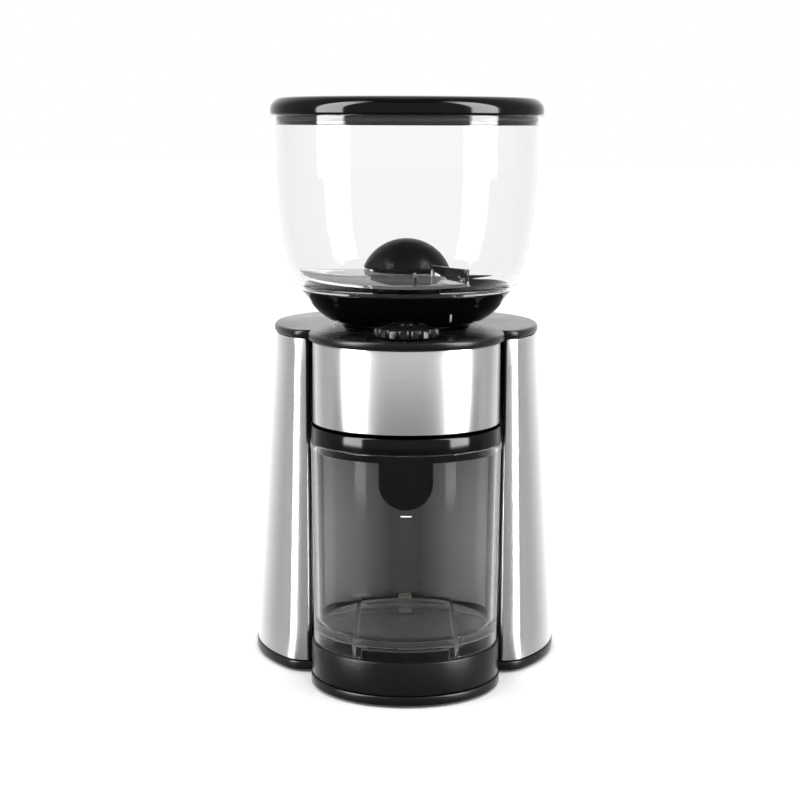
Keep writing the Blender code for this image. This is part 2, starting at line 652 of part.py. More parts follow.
def make_controls():
    dial_low = DECK_TOP + 0.4 * MM
    knob_r = 15.3 * MM
    dial = turned("dial", "satin_black", DIAL,
                  [(6.2 * MM, 182.8 * MM), (8.5 * MM, 182.6 * MM), (14.0 * MM, 181.0 * MM), (knob_r, 180.4 * MM),
                   (knob_r, dial_low + 0.4 * MM), (knob_r - 0.4 * MM, dial_low), (3.6 * MM, dial_low),
                   (3.6 * MM, 165.2 * MM), (2.0 * MM, 165.2 * MM), (2.0 * MM, 178.2 * MM),
                   (6.2 * MM, 178.2 * MM)], 34)
    flutes = 17
    for number in range(flutes):
        turn = 2 * pi * (number + 0.5) / flutes
        spot = (DIAL[0] + (knob_r + 0.3 * MM) * cos(turn), DIAL[1] + (knob_r + 0.3 * MM) * sin(turn))
        cut(dial, rod(f"flute_{number}", None, spot, 1.1 * MM, DECK_TOP, 180.2 * MM, 6))

    turned("start_button", "gloss_black", DIAL,
           [(0.0, 184.8 * MM), (2.6 * MM, 184.5 * MM), (4.6 * MM, 183.6 * MM), (5.8 * MM, 182.0 * MM),
            (5.8 * MM, 180.2 * MM), (1.6 * MM, 180.2 * MM), (1.6 * MM, 164.0 * MM), (0.0, 164.0 * MM)], 24)

    x, front, back = 10 * MM, -93 * MM, -73.4 * MM
    selector = block("selector_switch", "dark_plastic", (-x, front, 162.5 * MM), (x, back, DECK_Z - GAP))
    cut(selector, rod("selector_bore", None, DIAL, 4.0 * MM, 160 * MM, 174 * MM))
    block("start_switch", "gloss_black", (-3 * MM, DIAL[1] - 3 * MM, 160.5 * MM),
          (3 * MM, DIAL[1] + 3 * MM, 162.0 * MM))
    block("control_board", "board", (-16 * MM, -93 * MM, 158.6 * MM), (16 * MM, -73.2 * MM, 160.2 * MM))
    block("power_board", "board", (-24 * MM, 69 * MM, 34 * MM), (24 * MM, 70.6 * MM, 96 * MM))


# ---------------------------------------------------------------- hopper

def inset(points, distance):
    """Move a profile that runs down its outer side towards the inside of the wall."""
    moved = []
    last = len(points) - 1
    for i, (r, z) in enumerate(points):
        (ra, za), (rb, zb) = points[max(i - 1, 0)], points[min(i + 1, last)]
        length = sqrt((rb - ra) ** 2 + (zb - za) ** 2)
        moved.append((r + (zb - za) / length * distance, z - (rb - ra) / length * distance))
    return moved


def bowl_profile():
    """Outside of the hopper's black bowl, from the clear barrel's lower edge down to its foot."""
    keys = [(49.4, 190.2), (47.0, 186.4), (42.6, 182.2), (37.5, 179.2), (31.0, BOWL_LOW / MM)]
    return [(r * MM, z * MM) for r, z in keys]


def barrel_profile():
    """Outside of the hopper's clear barrel, from its rim down to its narrow lower edge."""
    keys = [(67.5, 275.4), (67.4, 256.0), (66.4, 238.0), (64.4, 220.0), (61.4, 207.5),
            (59.8, 203.2), (57.4, 199.0), (54.0, 195.8), (49.8, 190.5)]
    return [(r * MM, z * MM) for r, z in keys]


def make_hopper():
    outside = barrel_profile()
    inside = inset(outside, HOPPER_WALL)
    rim_r, rim_low = 68.0 * MM, 276.0 * MM
    inside[0] = (outside[0][0] - HOPPER_WALL, HOPPER_TOP)
    turned("hopper", "clear_plastic", BURR,
           [(rim_r, HOPPER_TOP), (rim_r, rim_low)] + outside + list(reversed(inside)))

    bowl = bowl_profile()
    lining = inset(bowl, BOWL_WALL)
    floor = BOWL_LOW + BOWL_WALL
    lining[-1] = (lining[-2][0] - 2 * MM, floor)
    tube_r, bore_r, tube_low = 14.5 * MM, 12.5 * MM, 169.8 * MM
    lip = [(51.4 * MM, 196.9 * MM), (51.2 * MM, 196.4 * MM), (47.5 * MM, 191.8 * MM)]
    lining[0] = (46.0 * MM, 191.6 * MM)
    lip_inside = [(49.5 * MM, 196.9 * MM)]
    throat = [(tube_r, BOWL_LOW), (tube_r, tube_low), (bore_r, tube_low), (bore_r, floor)]
    turned("hopper_funnel", "gloss_black", BURR,
           lip + bowl + throat + list(reversed(lip_inside + lining)))
    tube("hopper_collar", "gloss_black", BURR, 29 * MM, 31 * MM, 169.5 * MM, BOWL_LOW - GAP, ROUND)

    dome_top, neck_r, neck_wall = 220 * MM, 17 * MM, 1.8 * MM
    turns = [asin(DOME_R / DOME_CURVE_R) * i / 6 for i in range(7)]
    cap = [(DOME_CURVE_R * sin(turn), dome_top - DOME_CURVE_R * (1 - cos(turn))) for turn in turns]
    rim_z, under_cap = cap[-1][1], 204.6 * MM
    dome = turned("bean_dome", "gloss_black", BURR,
                  cap + [(DOME_R - 0.4 * MM, rim_z - 0.8 * MM), (neck_r, under_cap), (neck_r, floor + GAP),
                         (neck_r - neck_wall, floor + GAP), (neck_r - neck_wall, under_cap),
                         (DOME_R - 3 * MM, rim_z + MM), (12 * MM, 214 * MM), (0.0, dome_top - 2.4 * MM)], 24)
    window_low, window_top, window_half = 185 * MM, 197 * MM, 8.5 * MM
    for number in range(2):
        window = block(f"bean_window_{number}", None, (-30 * MM, -window_half, window_low),
                       (30 * MM, window_half, window_top))
        window.location[1] = BURR[1]
        window.rotation_euler = (0.0, 0.0, radians(45 + 90 * number))
        cut(dome, window)
    make_bean_guard()


def make_bean_guard():
    """A clear plate that slopes forward over the left part of the bowl."""
    slope = radians(4.5)
    low, high = 203.2 * MM, 204.6 * MM
    sector = ring_sector((0.0, 0.0), 18.6 * MM, 53.6 * MM, radians(-180), radians(-56), 20)
    guard = extruded("bean_guard", "clear_plastic", [sector], low, high, BURR)
    guard.rotation_euler = (slope, 0.0, 0.0)
    end_rib = block("guard_end_rib", None, (23 * MM, -0.8 * MM, 200.4 * MM), (53.4 * MM, 0.8 * MM, 208 * MM))
    turn, reach = radians(-57), 38.2 * MM
    end_rib.location = (BURR[0] + reach * cos(turn), BURR[1] + reach * sin(turn), 204 * MM)
    end_rib.rotation_euler = (0.0, 0.0, turn)
    mid_rib = block("guard_mid_rib", None, (3.2 * MM, -75 * MM, 199.6 * MM), (4.8 * MM, -48 * MM, 204.4 * MM))
    join(guard, end_rib, mid_rib)


def make_hopper_lid():
    skirt_r, groove_r, skirt_inner = 64.9 * MM, 63.8 * MM, 62.4 * MM
    seat = HOPPER_TOP + GAP
    turned("hopper_lid", "gloss_black", BURR,
           [(0.0, LID_TOP), (50 * MM, LID_TOP - 0.2 * MM), (63.0 * MM, LID_TOP - 1.0 * MM),
            (66.6 * MM, LID_TOP - 2.6 * MM), (LID_R, LID_TOP - 5.2 * MM), (LID_R, seat + 0.6 * MM),
            (LID_R - 0.6 * MM, seat), (skirt_r, seat), (skirt_r, 279.8 * MM), (groove_r, 279.8 * MM),
            (groove_r, 277.6 * MM), (skirt_r, 277.6 * MM), (skirt_r, 276.2 * MM), (skirt_inner, 276.2 * MM),
            (skirt_inner, 285.0 * MM), (61 * MM, 286.6 * MM), (0.0, 287.2 * MM)])
    tube("lid_seal", "rubber", BURR, groove_r + GAP, 65.0 * MM, 277.9 * MM, 279.5 * MM, ROUND)


# ---------------------------------------------------------------- grounds container

def make_container():
    foot_r, mouth_r, wall = 45.5 * MM, 46.8 * MM, 1.8 * MM
    floor_low, floor_top = 28.8 * MM, 31.0 * MM
    cup = turned("container", "clear_plastic", LOBE,
                 [(0.0, floor_top), (40.5 * MM, floor_top), (43.0 * MM, 32.2 * MM), (44.0 * MM, 35.0 * MM),
                  (mouth_r - wall, CUP_TOP), (CUP_R, CUP_TOP), (CUP_R, 119.3 * MM), (mouth_r, 118.8 * MM),
                  (foot_r, CUP_LOW), (foot_r - wall, CUP_LOW), (foot_r - wall, floor_low), (0.0, floor_low)])
    rib_x, rib_half, rib_reach = 24.5 * MM, 0.8 * MM, 37 * MM
    for number, x in enumerate((-rib_x, rib_x)):
        join(cup, block(f"cup_rib_{number}", None, (x - rib_half, LOBE[1] - rib_reach, CUP_LOW + 0.4 * MM),
                        (x + rib_half, LOBE[1] + rib_reach, floor_low + MM)))
    recess_x = 21 * MM
    cut(cup, block("cup_recess", None, (-recess_x, -104 * MM, CUP_LOW - MM), (recess_x, -92 * MM, 27.4 * MM)))

    lid_low, lid_top, lid_r = CUP_TOP + GAP, 130.5 * MM, 46.9 * MM
    skirt_r, skirt_low = 44.3 * MM, 118.6 * MM
    lid = turned("container_lid", "gloss_black", LOBE,
                 [(0.0, lid_top - 2 * MM), (41 * MM, lid_top - 2 * MM), (42 * MM, lid_top), (45.6 * MM, lid_top),
                  (lid_r, lid_top - 1.2 * MM), (lid_r, lid_low), (skirt_r, lid_low), (skirt_r, skirt_low),
                  (skirt_r - 1.4 * MM, skirt_low), (skirt_r - 1.4 * MM, 126.2 * MM), (0.0, 126.2 * MM)])
    inlet_x, inlet_front, inlet_back = 12 * MM, -73 * MM, -59.4 * MM
    cut(lid, block("lid_inlet", None, (-inlet_x, inlet_front, 120 * MM), (inlet_x, inlet_back, lid_top + MM)))
    apron_r, apron_y, apron_wall = 13.5 * MM, -57.4 * MM, 1.4 * MM
    apron = extruded("lid_apron", None, [apron_outline(apron_r)], -apron_wall / 2, apron_wall / 2)
    apron.rotation_euler = (pi / 2, 0.0, 0.0)
    apron.location = (0.0, apron_y, 127.4 * MM)
    join(lid, apron)


def apron_outline(radius):
    """A tongue with straight sides and a round lower end, hanging below y = 0."""
    straight = -27 * MM
    return arc((0.0, straight), radius, -pi, 0.0, 14) + [(radius, 0.0), (-radius, 0.0)]


def main():
    make_base()
    make_bay()
    make_upper_body()
    make_cladding()
    make_gearbox()
    make_motor()
    make_chamber()
    make_burrs()
    make_controls()
    make_hopper()
    make_hopper_lid()
    make_container()


main()
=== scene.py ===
"""Looks of the burr coffee grinder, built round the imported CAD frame."""

import json
from math import acos, asin, atan2, cos, pi, radians, sin, sqrt

import bmesh
import bpy
from mathutils import Matrix, Vector


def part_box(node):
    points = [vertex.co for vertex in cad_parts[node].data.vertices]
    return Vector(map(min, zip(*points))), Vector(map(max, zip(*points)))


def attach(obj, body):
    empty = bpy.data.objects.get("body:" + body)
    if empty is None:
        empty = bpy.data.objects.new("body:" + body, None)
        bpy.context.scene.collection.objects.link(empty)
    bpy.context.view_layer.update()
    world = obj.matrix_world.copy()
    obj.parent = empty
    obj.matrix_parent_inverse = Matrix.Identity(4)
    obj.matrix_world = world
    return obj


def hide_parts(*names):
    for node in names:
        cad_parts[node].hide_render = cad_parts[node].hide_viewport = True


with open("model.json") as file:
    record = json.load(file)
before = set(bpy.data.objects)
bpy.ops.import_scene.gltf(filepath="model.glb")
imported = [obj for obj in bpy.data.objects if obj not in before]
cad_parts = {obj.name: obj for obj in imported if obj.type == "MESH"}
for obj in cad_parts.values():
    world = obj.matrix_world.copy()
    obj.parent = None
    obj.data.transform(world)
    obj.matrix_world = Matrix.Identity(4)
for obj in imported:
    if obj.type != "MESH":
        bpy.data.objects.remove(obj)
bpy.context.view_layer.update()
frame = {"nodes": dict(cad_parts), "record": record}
MM = 0.001

# ------------------------------------------------------------------ places from the frame


def middle(node):
    """Plan centre of a node's box."""
    low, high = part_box(node)
    return (low.x + high.x) / 2, (low.y + high.y) / 2


def low_z(node):
    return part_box(node)[0].z


def top_z(node):
    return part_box(node)[1].z


def half_width(node):
    low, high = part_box(node)
    return (high.x - low.x) / 2


BURR = middle("hopper")
LOBE = middle("container")
DIAL = middle("start_button")
DECK_Z = low_z("top_deck")
DECK_TOP = top_z("top_deck")
BASE_Z = low_z("left_skin")

# the wings' plan: centre Y of the front curve and of the back curve, their radius,
# and the centre X and radius of the tight front corners
BASE_WING = [length * MM for length in (12.0, 22.0, 78.6, 50.1, 13.0)]
DECK_WING = [length * MM for length in (-12.0, -8.0, 66.8, 48.4, 9.6)]
FRONT_LEAN = 0.06
PLATE_MARGIN = 0.4 * MM

# ------------------------------------------------------------------ materials


def nodes_of(mat):
    return mat.node_tree.nodes, mat.node_tree.links


def new_material(name, base, roughness, metallic=0.0, **sockets):
    """A Principled material; the extra values go straight on the shader's sockets."""
    mat = bpy.data.materials.new(name)
    mat.use_nodes = True
    shader = mat.node_tree.nodes["Principled BSDF"]
    shader.inputs["Base Color"].default_value = (*base, 1.0)
    shader.inputs["Roughness"].default_value = roughness
    shader.inputs["Metallic"].default_value = metallic
    for socket, value in sockets.items():
        shader.inputs[socket.replace("_", " ")].default_value = value
    return mat


def maths(nodes, links, operation, first, second=None):
    """A maths node on one or two values, each a number or a socket."""
    node = nodes.new("ShaderNodeMath")
    node.operation = operation
    for socket, value in zip(node.inputs, (first, second)):
        if isinstance(value, (int, float)):
            socket.default_value = value
        elif value is not None:
            links.new(value, socket)
    return node.outputs["Value"]


def blend(nodes, links, share, first, second, output):
    """Feed an output node with two shaders, mixed by a share that is 0 for the first of them."""
    mix = nodes.new("ShaderNodeMixShader")
    for socket, source in zip(mix.inputs, (share, first, second)):
        links.new(source, socket)
    links.new(mix.outputs["Shader"], nodes[output].inputs["Surface"])


def noise(mat, scale, detail, stretch=(1.0, 1.0, 1.0), roughness=0.5):
    """A noise texture in object space, in cycles per metre."""
    nodes, links = nodes_of(mat)
    coords = nodes.new("ShaderNodeTexCoord")
    mapping = nodes.new("ShaderNodeMapping")
    mapping.inputs["Scale"].default_value = stretch
    texture = nodes.new("ShaderNodeTexNoise")
    texture.inputs["Scale"].default_value = scale
    texture.inputs["Detail"].default_value = detail
    texture.inputs["Roughness"].default_value = roughness
    links.new(coords.outputs["Object"], mapping.inputs["Vector"])
    links.new(mapping.outputs["Vector"], texture.inputs["Vector"])
    return texture.outputs["Fac"]


def spread(mat, source, low, high, start=0.3, end=0.7):
    """Stretch a value from the range start to end to the range low to high."""
    nodes, links = nodes_of(mat)
    ranged = nodes.new("ShaderNodeMapRange")
    for socket, value in (("From Min", start), ("From Max", end), ("To Min", low), ("To Max", high)):
        ranged.inputs[socket].default_value = value
    links.new(source, ranged.inputs["Value"])
    return ranged.outputs["Result"]


def tint(mat, source, dark, light, start=0.3, end=0.7):
    """Mix two colours by a value and feed the base colour; gives the colour ramp."""
    nodes, links = nodes_of(mat)
    ramp = nodes.new("ShaderNodeValToRGB")
    ramp.color_ramp.elements[0].position = start
    ramp.color_ramp.elements[0].color = (*dark, 1.0)
    ramp.color_ramp.elements[1].position = end
    ramp.color_ramp.elements[1].color = (*light, 1.0)
    links.new(source, ramp.inputs["Fac"])
    links.new(ramp.outputs["Color"], nodes["Principled BSDF"].inputs["Base Color"])
    return ramp.color_ramp


def roughen(mat, value):
    """Feed the roughness."""
    nodes, links = nodes_of(mat)
    links.new(value, nodes["Principled BSDF"].inputs["Roughness"])


def bump(mat, source, distance, strength):
    """Raise the surface a little where a value is high."""
    nodes, links = nodes_of(mat)
    node = nodes.new("ShaderNodeBump")
    node.inputs["Strength"].default_value = strength
    node.inputs["Distance"].default_value = distance
    links.new(source, node.inputs["Height"])
    links.new(node.outputs["Normal"], nodes["Principled BSDF"].inputs["Normal"])


def gloss_black():
    """Polished black plastic with faint smudges."""
    mat = new_material("gloss_black", (0.002, 0.002, 0.002), 0.08, Specular_IOR_Level=0.15)
    smudges = noise(mat, 38.0, 4.0)
    tint(mat, smudges, (0.0012, 0.0012, 0.0013), (0.0022, 0.0022, 0.0024))
    roughen(mat, spread(mat, smudges, 0.05, 0.11))
    bump(mat, noise(mat, 260.0, 1.0), 0.00001, 0.3)
    return mat


PATCHES, GRAIN, GRAIN_DEPTH = 30.0, 3200.0, 0.03 * MM


def moulded(name, dark, light, smooth, rough, shine=0.4, depth=GRAIN_DEPTH):
    """Injection-moulded plastic with a fine spark-eroded grain."""
    mat = new_material(name, light, rough, Specular_IOR_Level=shine)
    patches = noise(mat, PATCHES, 3.0)
    tint(mat, patches, dark, light)
    roughen(mat, spread(mat, patches, smooth, rough))
    bump(mat, noise(mat, GRAIN, 2.0), depth, 0.6)
    return mat


def bay_grey_with_painted_side_light():
    """Grey plastic of the bay with painted light and shade: darkest in the middle and pale towards its
    corners, as if lit from the sides; black on its side walls.
    """
    grey, painted_side_light, black = (0.13, 0.13, 0.132), (0.85, 0.85, 0.86), (0.012, 0.012, 0.012)
    reach = 50 * MM
    mat = new_material("bay_grey", grey, 0.4, Specular_IOR_Level=0.4)
    nodes, links = nodes_of(mat)
    coords = nodes.new("ShaderNodeTexCoord")
    split = nodes.new("ShaderNodeSeparateXYZ")
    links.new(coords.outputs["Object"], split.inputs["Vector"])
    painted_light_across = spread(mat, maths(nodes, links, "ABSOLUTE", split.outputs["X"]), 0.0, 1.0, 0.0, reach)
    # painted light: the grey darkens towards the middle and turns pale near the corners, as the side lamps
    # would light it
    ramp = tint(mat, painted_light_across, grey, black, 0.16, 0.951)
    for place in (0.9, 0.944):
        ramp.elements.new(place).color = (*painted_side_light, 1.0)
    roughen(mat, spread(mat, noise(mat, PATCHES, 3.0), 0.34, 0.46))
    bump(mat, noise(mat, GRAIN, 2.0), GRAIN_DEPTH, 0.6)
    return mat


def brushed_steel():
    """Steel with fine level brush lines, which spread its reflections up and down."""
    dark, light = (0.67, 0.67, 0.675), (0.72, 0.72, 0.723)
    mat = new_material("brushed_steel", light, 0.275, 1.0, Anisotropic=0.92, Anisotropic_Rotation=0.25)
    nodes, links = nodes_of(mat)
    tint(mat, noise(mat, 1.0, 5.0, stretch=(14.0, 14.0, 1500.0), roughness=0.6), dark, light)
    tangent = nodes.new("ShaderNodeTangent")
    tangent.direction_type = "RADIAL"
    tangent.axis = "Z"
    links.new(tangent.outputs["Tangent"], nodes["Principled BSDF"].inputs["Tangent"])
    return mat


def machined_steel():
    """Machined steel of the burrs, shafts, screws and motor."""
    mat = new_material("machined_steel", (0.58, 0.58, 0.59), 0.25, 1.0)
    rings = noise(mat, 1.0, 3.0, stretch=(700.0, 700.0, 90.0))
    tint(mat, rings, (0.48, 0.48, 0.49), (0.66, 0.66, 0.67))
    roughen(mat, spread(mat, rings, 0.18, 0.34))
    return mat


def clear_plastic(name, tone, haze, ior):
    """Clear polished plastic, a little hazy where it is seen edge-on; its shadow is faint."""
    mat = new_material(name, tone, 0.02, Transmission_Weight=1.0, IOR=ior, Sheen_Weight=haze,
                       Sheen_Roughness=0.25)
    nodes, links = nodes_of(mat)
    roughen(mat, spread(mat, noise(mat, 24.0, 3.0), 0.0, 0.02))
    bump(mat, noise(mat, 30.0, 1.0), 0.00003, 0.12)
    path = nodes.new("ShaderNodeLightPath")
    pass_through = nodes.new("ShaderNodeBsdfTransparent")
    shadow = 0.96
    pass_through.inputs["Color"].default_value = (*[shadow * level for level in tone], 1.0)
    blend(nodes, links, path.outputs["Is Shadow Ray"], nodes["Principled BSDF"].outputs["BSDF"],
          pass_through.outputs["BSDF"], "Material Output")
    return mat


def speckled(name, dark, light, roughness, metallic, scale):
    """A plain material with small colour variation, for inner pieces and printed marks."""
    mat = new_material(name, light, roughness, metallic)
    grain = noise(mat, scale, 3.0)
    tint(mat, grain, dark, light)
    roughen(mat, spread(mat, grain, roughness * 0.85, min(1.0, roughness * 1.15)))
    return mat


GLOSS = gloss_black()
SATIN = moulded("satin_black", (0.003, 0.003, 0.003), (0.005, 0.005, 0.006), 0.24, 0.32, 0.18)
DARK = moulded("dark_plastic", (0.012, 0.012, 0.013), (0.020, 0.020, 0.021), 0.40, 0.52)
DOME_BLACK = moulded("dome_black", (0.0012, 0.0012, 0.0012), (0.0025, 0.0025, 0.0025), 0.3, 0.38, 0.05,
                     0.004 * MM)
BAY_GREY_WITH_PAINTED_LIGHT = bay_grey_with_painted_side_light()
STEEL = brushed_steel()
BRIGHT = machined_steel()
CLEAR = clear_plastic("clear_hopper", (0.968, 0.972, 0.972), 0.4, 1.32)
CLEAR_CUP = clear_plastic("clear_cup", (0.975, 0.978, 0.978), 0.65, 1.22)
BRONZE = speckled("bronze", (0.42, 0.28, 0.11), (0.60, 0.44, 0.20), 0.40, 1.0, 900.0)
RUBBER = speckled("rubber", (0.014, 0.014, 0.014), (0.026, 0.026, 0.026), 0.82, 0.0, 1500.0)
NYLON = speckled("nylon", (0.62, 0.60, 0.53), (0.74, 0.72, 0.65), 0.48, 0.0, 250.0)
COPPER = speckled("copper", (0.42, 0.17, 0.08), (0.62, 0.30, 0.15), 0.38, 1.0, 1200.0)
BOARD = speckled("board", (0.02, 0.12, 0.05), (0.04, 0.19, 0.08), 0.45, 0.0, 600.0)
PRINT = speckled("white_print", (0.78, 0.78, 0.78), (0.88, 0.88, 0.88), 0.55, 0.0, 2000.0)

SLOT_LOOKS = {
    "gloss_black": GLOSS, "satin_black": SATIN, "dark_plastic": DARK, "bay_grey": BAY_GREY_WITH_PAINTED_LIGHT,
    "brushed_steel": STEEL, "bright_steel": BRIGHT, "clear_plastic": CLEAR, "bronze": BRONZE,
    "rubber": RUBBER, "nylon": NYLON, "copper": COPPER, "board": BOARD,
}

# ------------------------------------------------------------------ shapes


def finish_piece(obj, mat, body, replaced=()):
    """Give a piece its material and body, and hide the CAD nodes that it stands for."""
    obj.data.materials.clear()
    obj.data.materials.append(mat)
    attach(obj, body)
    if replaced:
        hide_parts(*replaced)
    return obj


SHARP = 35.0                          # degrees between faces above which an edge shows sharp


def link(name, mesh, sharp=SHARP):
    """Put a mesh in the scene, smooth but for its sharp edges."""
    mesh.shade_smooth()
    mesh.set_sharp_from_angle(angle=radians(sharp))
    obj = bpy.data.objects.new(name, mesh)
    bpy.context.scene.collection.objects.link(obj)
    return obj


def build(name, shape, sharp=SHARP):
    """Put a finished bmesh in the scene as an object."""
    mesh = bpy.data.meshes.new(name)
    shape.to_mesh(mesh)
    shape.free()
    return link(name, mesh, sharp)


def bridge(shape, upper, lower):
    """Faces between two closed rings of points; a ring may also be a single point."""
    sides = max(len(upper), len(lower))
    for side in range(sides):
        after = (side + 1) % sides
        corners = [upper[side % len(upper)], lower[side % len(lower)],
                   lower[after % len(lower)], upper[after % len(upper)]]
        face = list(dict.fromkeys(corners))
        if len(face) > 2:
            shape.faces.new(face)


def fillet(corners, steps=4):
    """Round the corners of a profile; each corner is (radius, height, fillet size)."""
    points = []
    last = len(corners) - 1
    for i, (r, z, size) in enumerate(corners):
        here = Vector((r, z))
        if size == 0.0 or i in (0, last):
            points.append((r, z))
            continue
        before = Vector(corners[i - 1][:2]) - here
        after = Vector(corners[i + 1][:2]) - here
        start = here + before.normalized() * min(size, before.length * 0.48)
        end = here + after.normalized() * min(size, after.length * 0.48)
        for step in range(steps + 1):
            t = step / steps
            point = start * (1 - t) ** 2 + here * 2 * t * (1 - t) + end * t ** 2
            points.append((point.x, point.y))
    return points


def smooth(points, steps):
    """A Catmull-Rom curve through profile points."""
    ends = [points[0]] + points + [points[-1]]
    curve = []
    for a, b, c, d in zip(ends, ends[1:], ends[2:], ends[3:]):
        for step in range(steps):
            t = step / steps
            curve.append(tuple(
                0.5 * (2 * q + (r - p) * t + (2 * p - 5 * q + 4 * r - s) * t ** 2
                       + (3 * q - p - 3 * r + s) * t ** 3)
                for p, q, r, s in zip(a, b, c, d)))
    return curve + [points[-1]]


def inset(points, distance):
    """Move a profile that runs down its outer side towards the inside of the wall."""
    moved = []
    last = len(points) - 1
    for i, (r, z) in enumerate(points):
        (ra, za), (rb, zb) = points[max(i - 1, 0)], points[min(i + 1, last)]
        length = sqrt((rb - ra) ** 2 + (zb - za) ** 2)
        moved.append((r + (zb - za) / length * distance, z - (rb - ra) / length * distance))
    return moved


def turned(name, profile, centre, sides):
    """Revolve a profile that runs down its outer side; it is closed unless both ends are on the axis."""
    shape = bmesh.new()
    rings = []
    for r, z in profile:
        if r < 1e-7:
            rings.append([shape.verts.new((centre[0], centre[1], z))])
            continue
        ring = []
        for side in range(sides):
            turn = 2 * pi * side / sides
            ring.append(shape.verts.new((centre[0] + r * cos(turn), centre[1] + r * sin(turn), z)))
        rings.append(ring)
    pairs = list(zip(rings, rings[1:]))
    if len(rings[0]) > 1 or len(rings[-1]) > 1:
        pairs.append((rings[-1], rings[0]))
    for upper, lower in pairs:
        bridge(shape, upper, lower)
    return build(name, shape)


def slab(name, outlines, low, high, edge, steps=3):
    """Extrude outlines in plan and round the upper and lower edges."""
    curve = bpy.data.curves.new(name, "CURVE")
    curve.dimensions = "2D"
    curve.fill_mode = "BOTH"
    curve.extrude = (high - low) / 2 - edge
    curve.bevel_depth = edge
    curve.bevel_resolution = steps
    curve.offset = -edge
    for outline in outlines:
        spline = curve.splines.new("POLY")
        spline.points.add(len(outline) - 1)
        for point, (x, y) in zip(spline.points, outline):
            point.co = (x, y, 0.0, 1.0)
        spline.use_cyclic_u = True
    guide = bpy.data.objects.new(name + "_guide", curve)
    bpy.context.scene.collection.objects.link(guide)
    bpy.context.view_layer.update()
    mesh = bpy.data.meshes.new_from_object(guide.evaluated_get(bpy.context.evaluated_depsgraph_get()))
    bpy.data.objects.remove(guide)
    bpy.data.curves.remove(curve)
    mesh.transform(Matrix.Translation((0, 0, (low + high) / 2)))
    shape = bmesh.new()
    shape.from_mesh(mesh)
    bmesh.ops.remove_doubles(shape, verts=shape.verts, dist=0.000002)
    bmesh.ops.recalc_face_normals(shape, faces=shape.faces)
    shape.to_mesh(mesh)
    shape.free()
    return link(name, mesh)


def rounded_box(name, low, high, edge, steps=3):
    """A box with rounded edges."""
    shape = bmesh.new()
    bmesh.ops.create_cube(shape, size=1.0)
    size = Vector(high) - Vector(low)
    bmesh.ops.scale(shape, vec=size, verts=shape.verts)
    bmesh.ops.translate(shape, vec=(Vector(high) + Vector(low)) / 2, verts=shape.verts)
    bmesh.ops.bevel(shape, geom=shape.edges[:], offset=edge, segments=steps, profile=0.5, affect="EDGES")
    return build(name, shape)


def apply_modifiers(obj):
    """Make the result of an object's modifiers its own mesh."""
    bpy.context.view_layer.update()
    evaluated = obj.evaluated_get(bpy.context.evaluated_depsgraph_get())
    mesh = bpy.data.meshes.new_from_object(evaluated)
    obj.modifiers.clear()
    obj.data = mesh
    return obj


def boolean(obj, tool, operation):
    """Cut or join a shape and drop the tool."""
    step = obj.modifiers.new("step", "BOOLEAN")
    step.operation = operation
    step.solver = "EXACT"
    step.object = tool
    apply_modifiers(obj)
    bpy.data.objects.remove(tool)
    obj.data.shade_smooth()
    obj.data.set_sharp_from_angle(angle=radians(SHARP))
    return obj


def arc(centre, radius, start, end, steps):
    """Points along a part of a circle."""
    turns = [start + (end - start) * i / steps for i in range(steps + 1)]
    return [(centre[0] + radius * cos(a), centre[1] + radius * sin(a)) for a in turns]


def ring_sector(centre, inner, outer, start, end, steps):
    """Outline of a part of a flat ring."""
    return arc(centre, outer, start, end, steps) + arc(centre, inner, end, start, steps)


def wing_side(section, start_x, end_x, grow=0.0, fold=0.0):
    """Right side of a wing plan, from its front edge at start_x round to end_x at the back.

    The front edge either leans back a little towards start_x or folds inwards there."""
    front_y, back_y, radius, corner_x, corner_r = section
    radius += grow
    corner_r += grow
    swing = asin(corner_x / (radius - corner_r))
    corner_y = front_y - (radius - corner_r) * cos(swing)
    turn = -pi / 2
    edge = [(start_x, corner_y - corner_r + FRONT_LEAN * (corner_x - start_x))]
    if fold:
        turn += asin((start_x + fold - corner_x) / (corner_r - fold))
        fold_y = corner_y + (corner_r - fold) * sin(turn)
        edge = [(start_x, fold_y + fold)]
        edge += arc((start_x + fold, fold_y), fold, -pi, turn, 10)[:-1]
    corner = arc((corner_x, corner_y), corner_r, turn, swing - pi / 2, 16)
    front = arc((0.0, front_y), radius, swing - pi / 2, 0.0, 24)
    back = arc((0.0, back_y), radius, 0.0, acos(end_x / radius), 32)
    return edge + corner + front[1:] + back


def body_outline(lobe_r, section):
    """The round front lobe with the wings behind it, as one outline."""
    right = wing_side(section, lobe_r - 2 * MM, 0.0, PLATE_MARGIN)
    meet_y = right[0][1] - LOBE[1]
    right[0] = (sqrt(lobe_r ** 2 - meet_y ** 2), right[0][1])
    lobe_angle = atan2(meet_y, right[0][0])
    left = [(-x, y) for x, y in reversed(right[:-1])]
    return right + left + arc(LOBE, lobe_r, -pi - lobe_angle, lobe_angle, 72)[1:-1]


def bay_outline(radius, back, corner):
    """The round front lobe with straight sides running back to two rounded corners."""
    front = arc(LOBE, radius, -pi, 0.0, 64)
    right = arc((radius - corner, back - corner), corner, 0.0, pi / 2, 8)
    left = arc((corner - radius, back - corner), corner, pi / 2, pi, 8)
    return front + right + left


# ------------------------------------------------------------------ hopper

GAP = 0.3 * MM                        # between touching pieces
AT_BURR = Matrix.Translation((*BURR, 0.0))
HOPPER_WALL = 2.2 * MM
HOPPER_R = half_width("hopper")
HOPPER_TOP = top_z("hopper")
RIM_HEIGHT = 4.9 * MM
BOWL_LOW = top_z("hopper_collar") + GAP
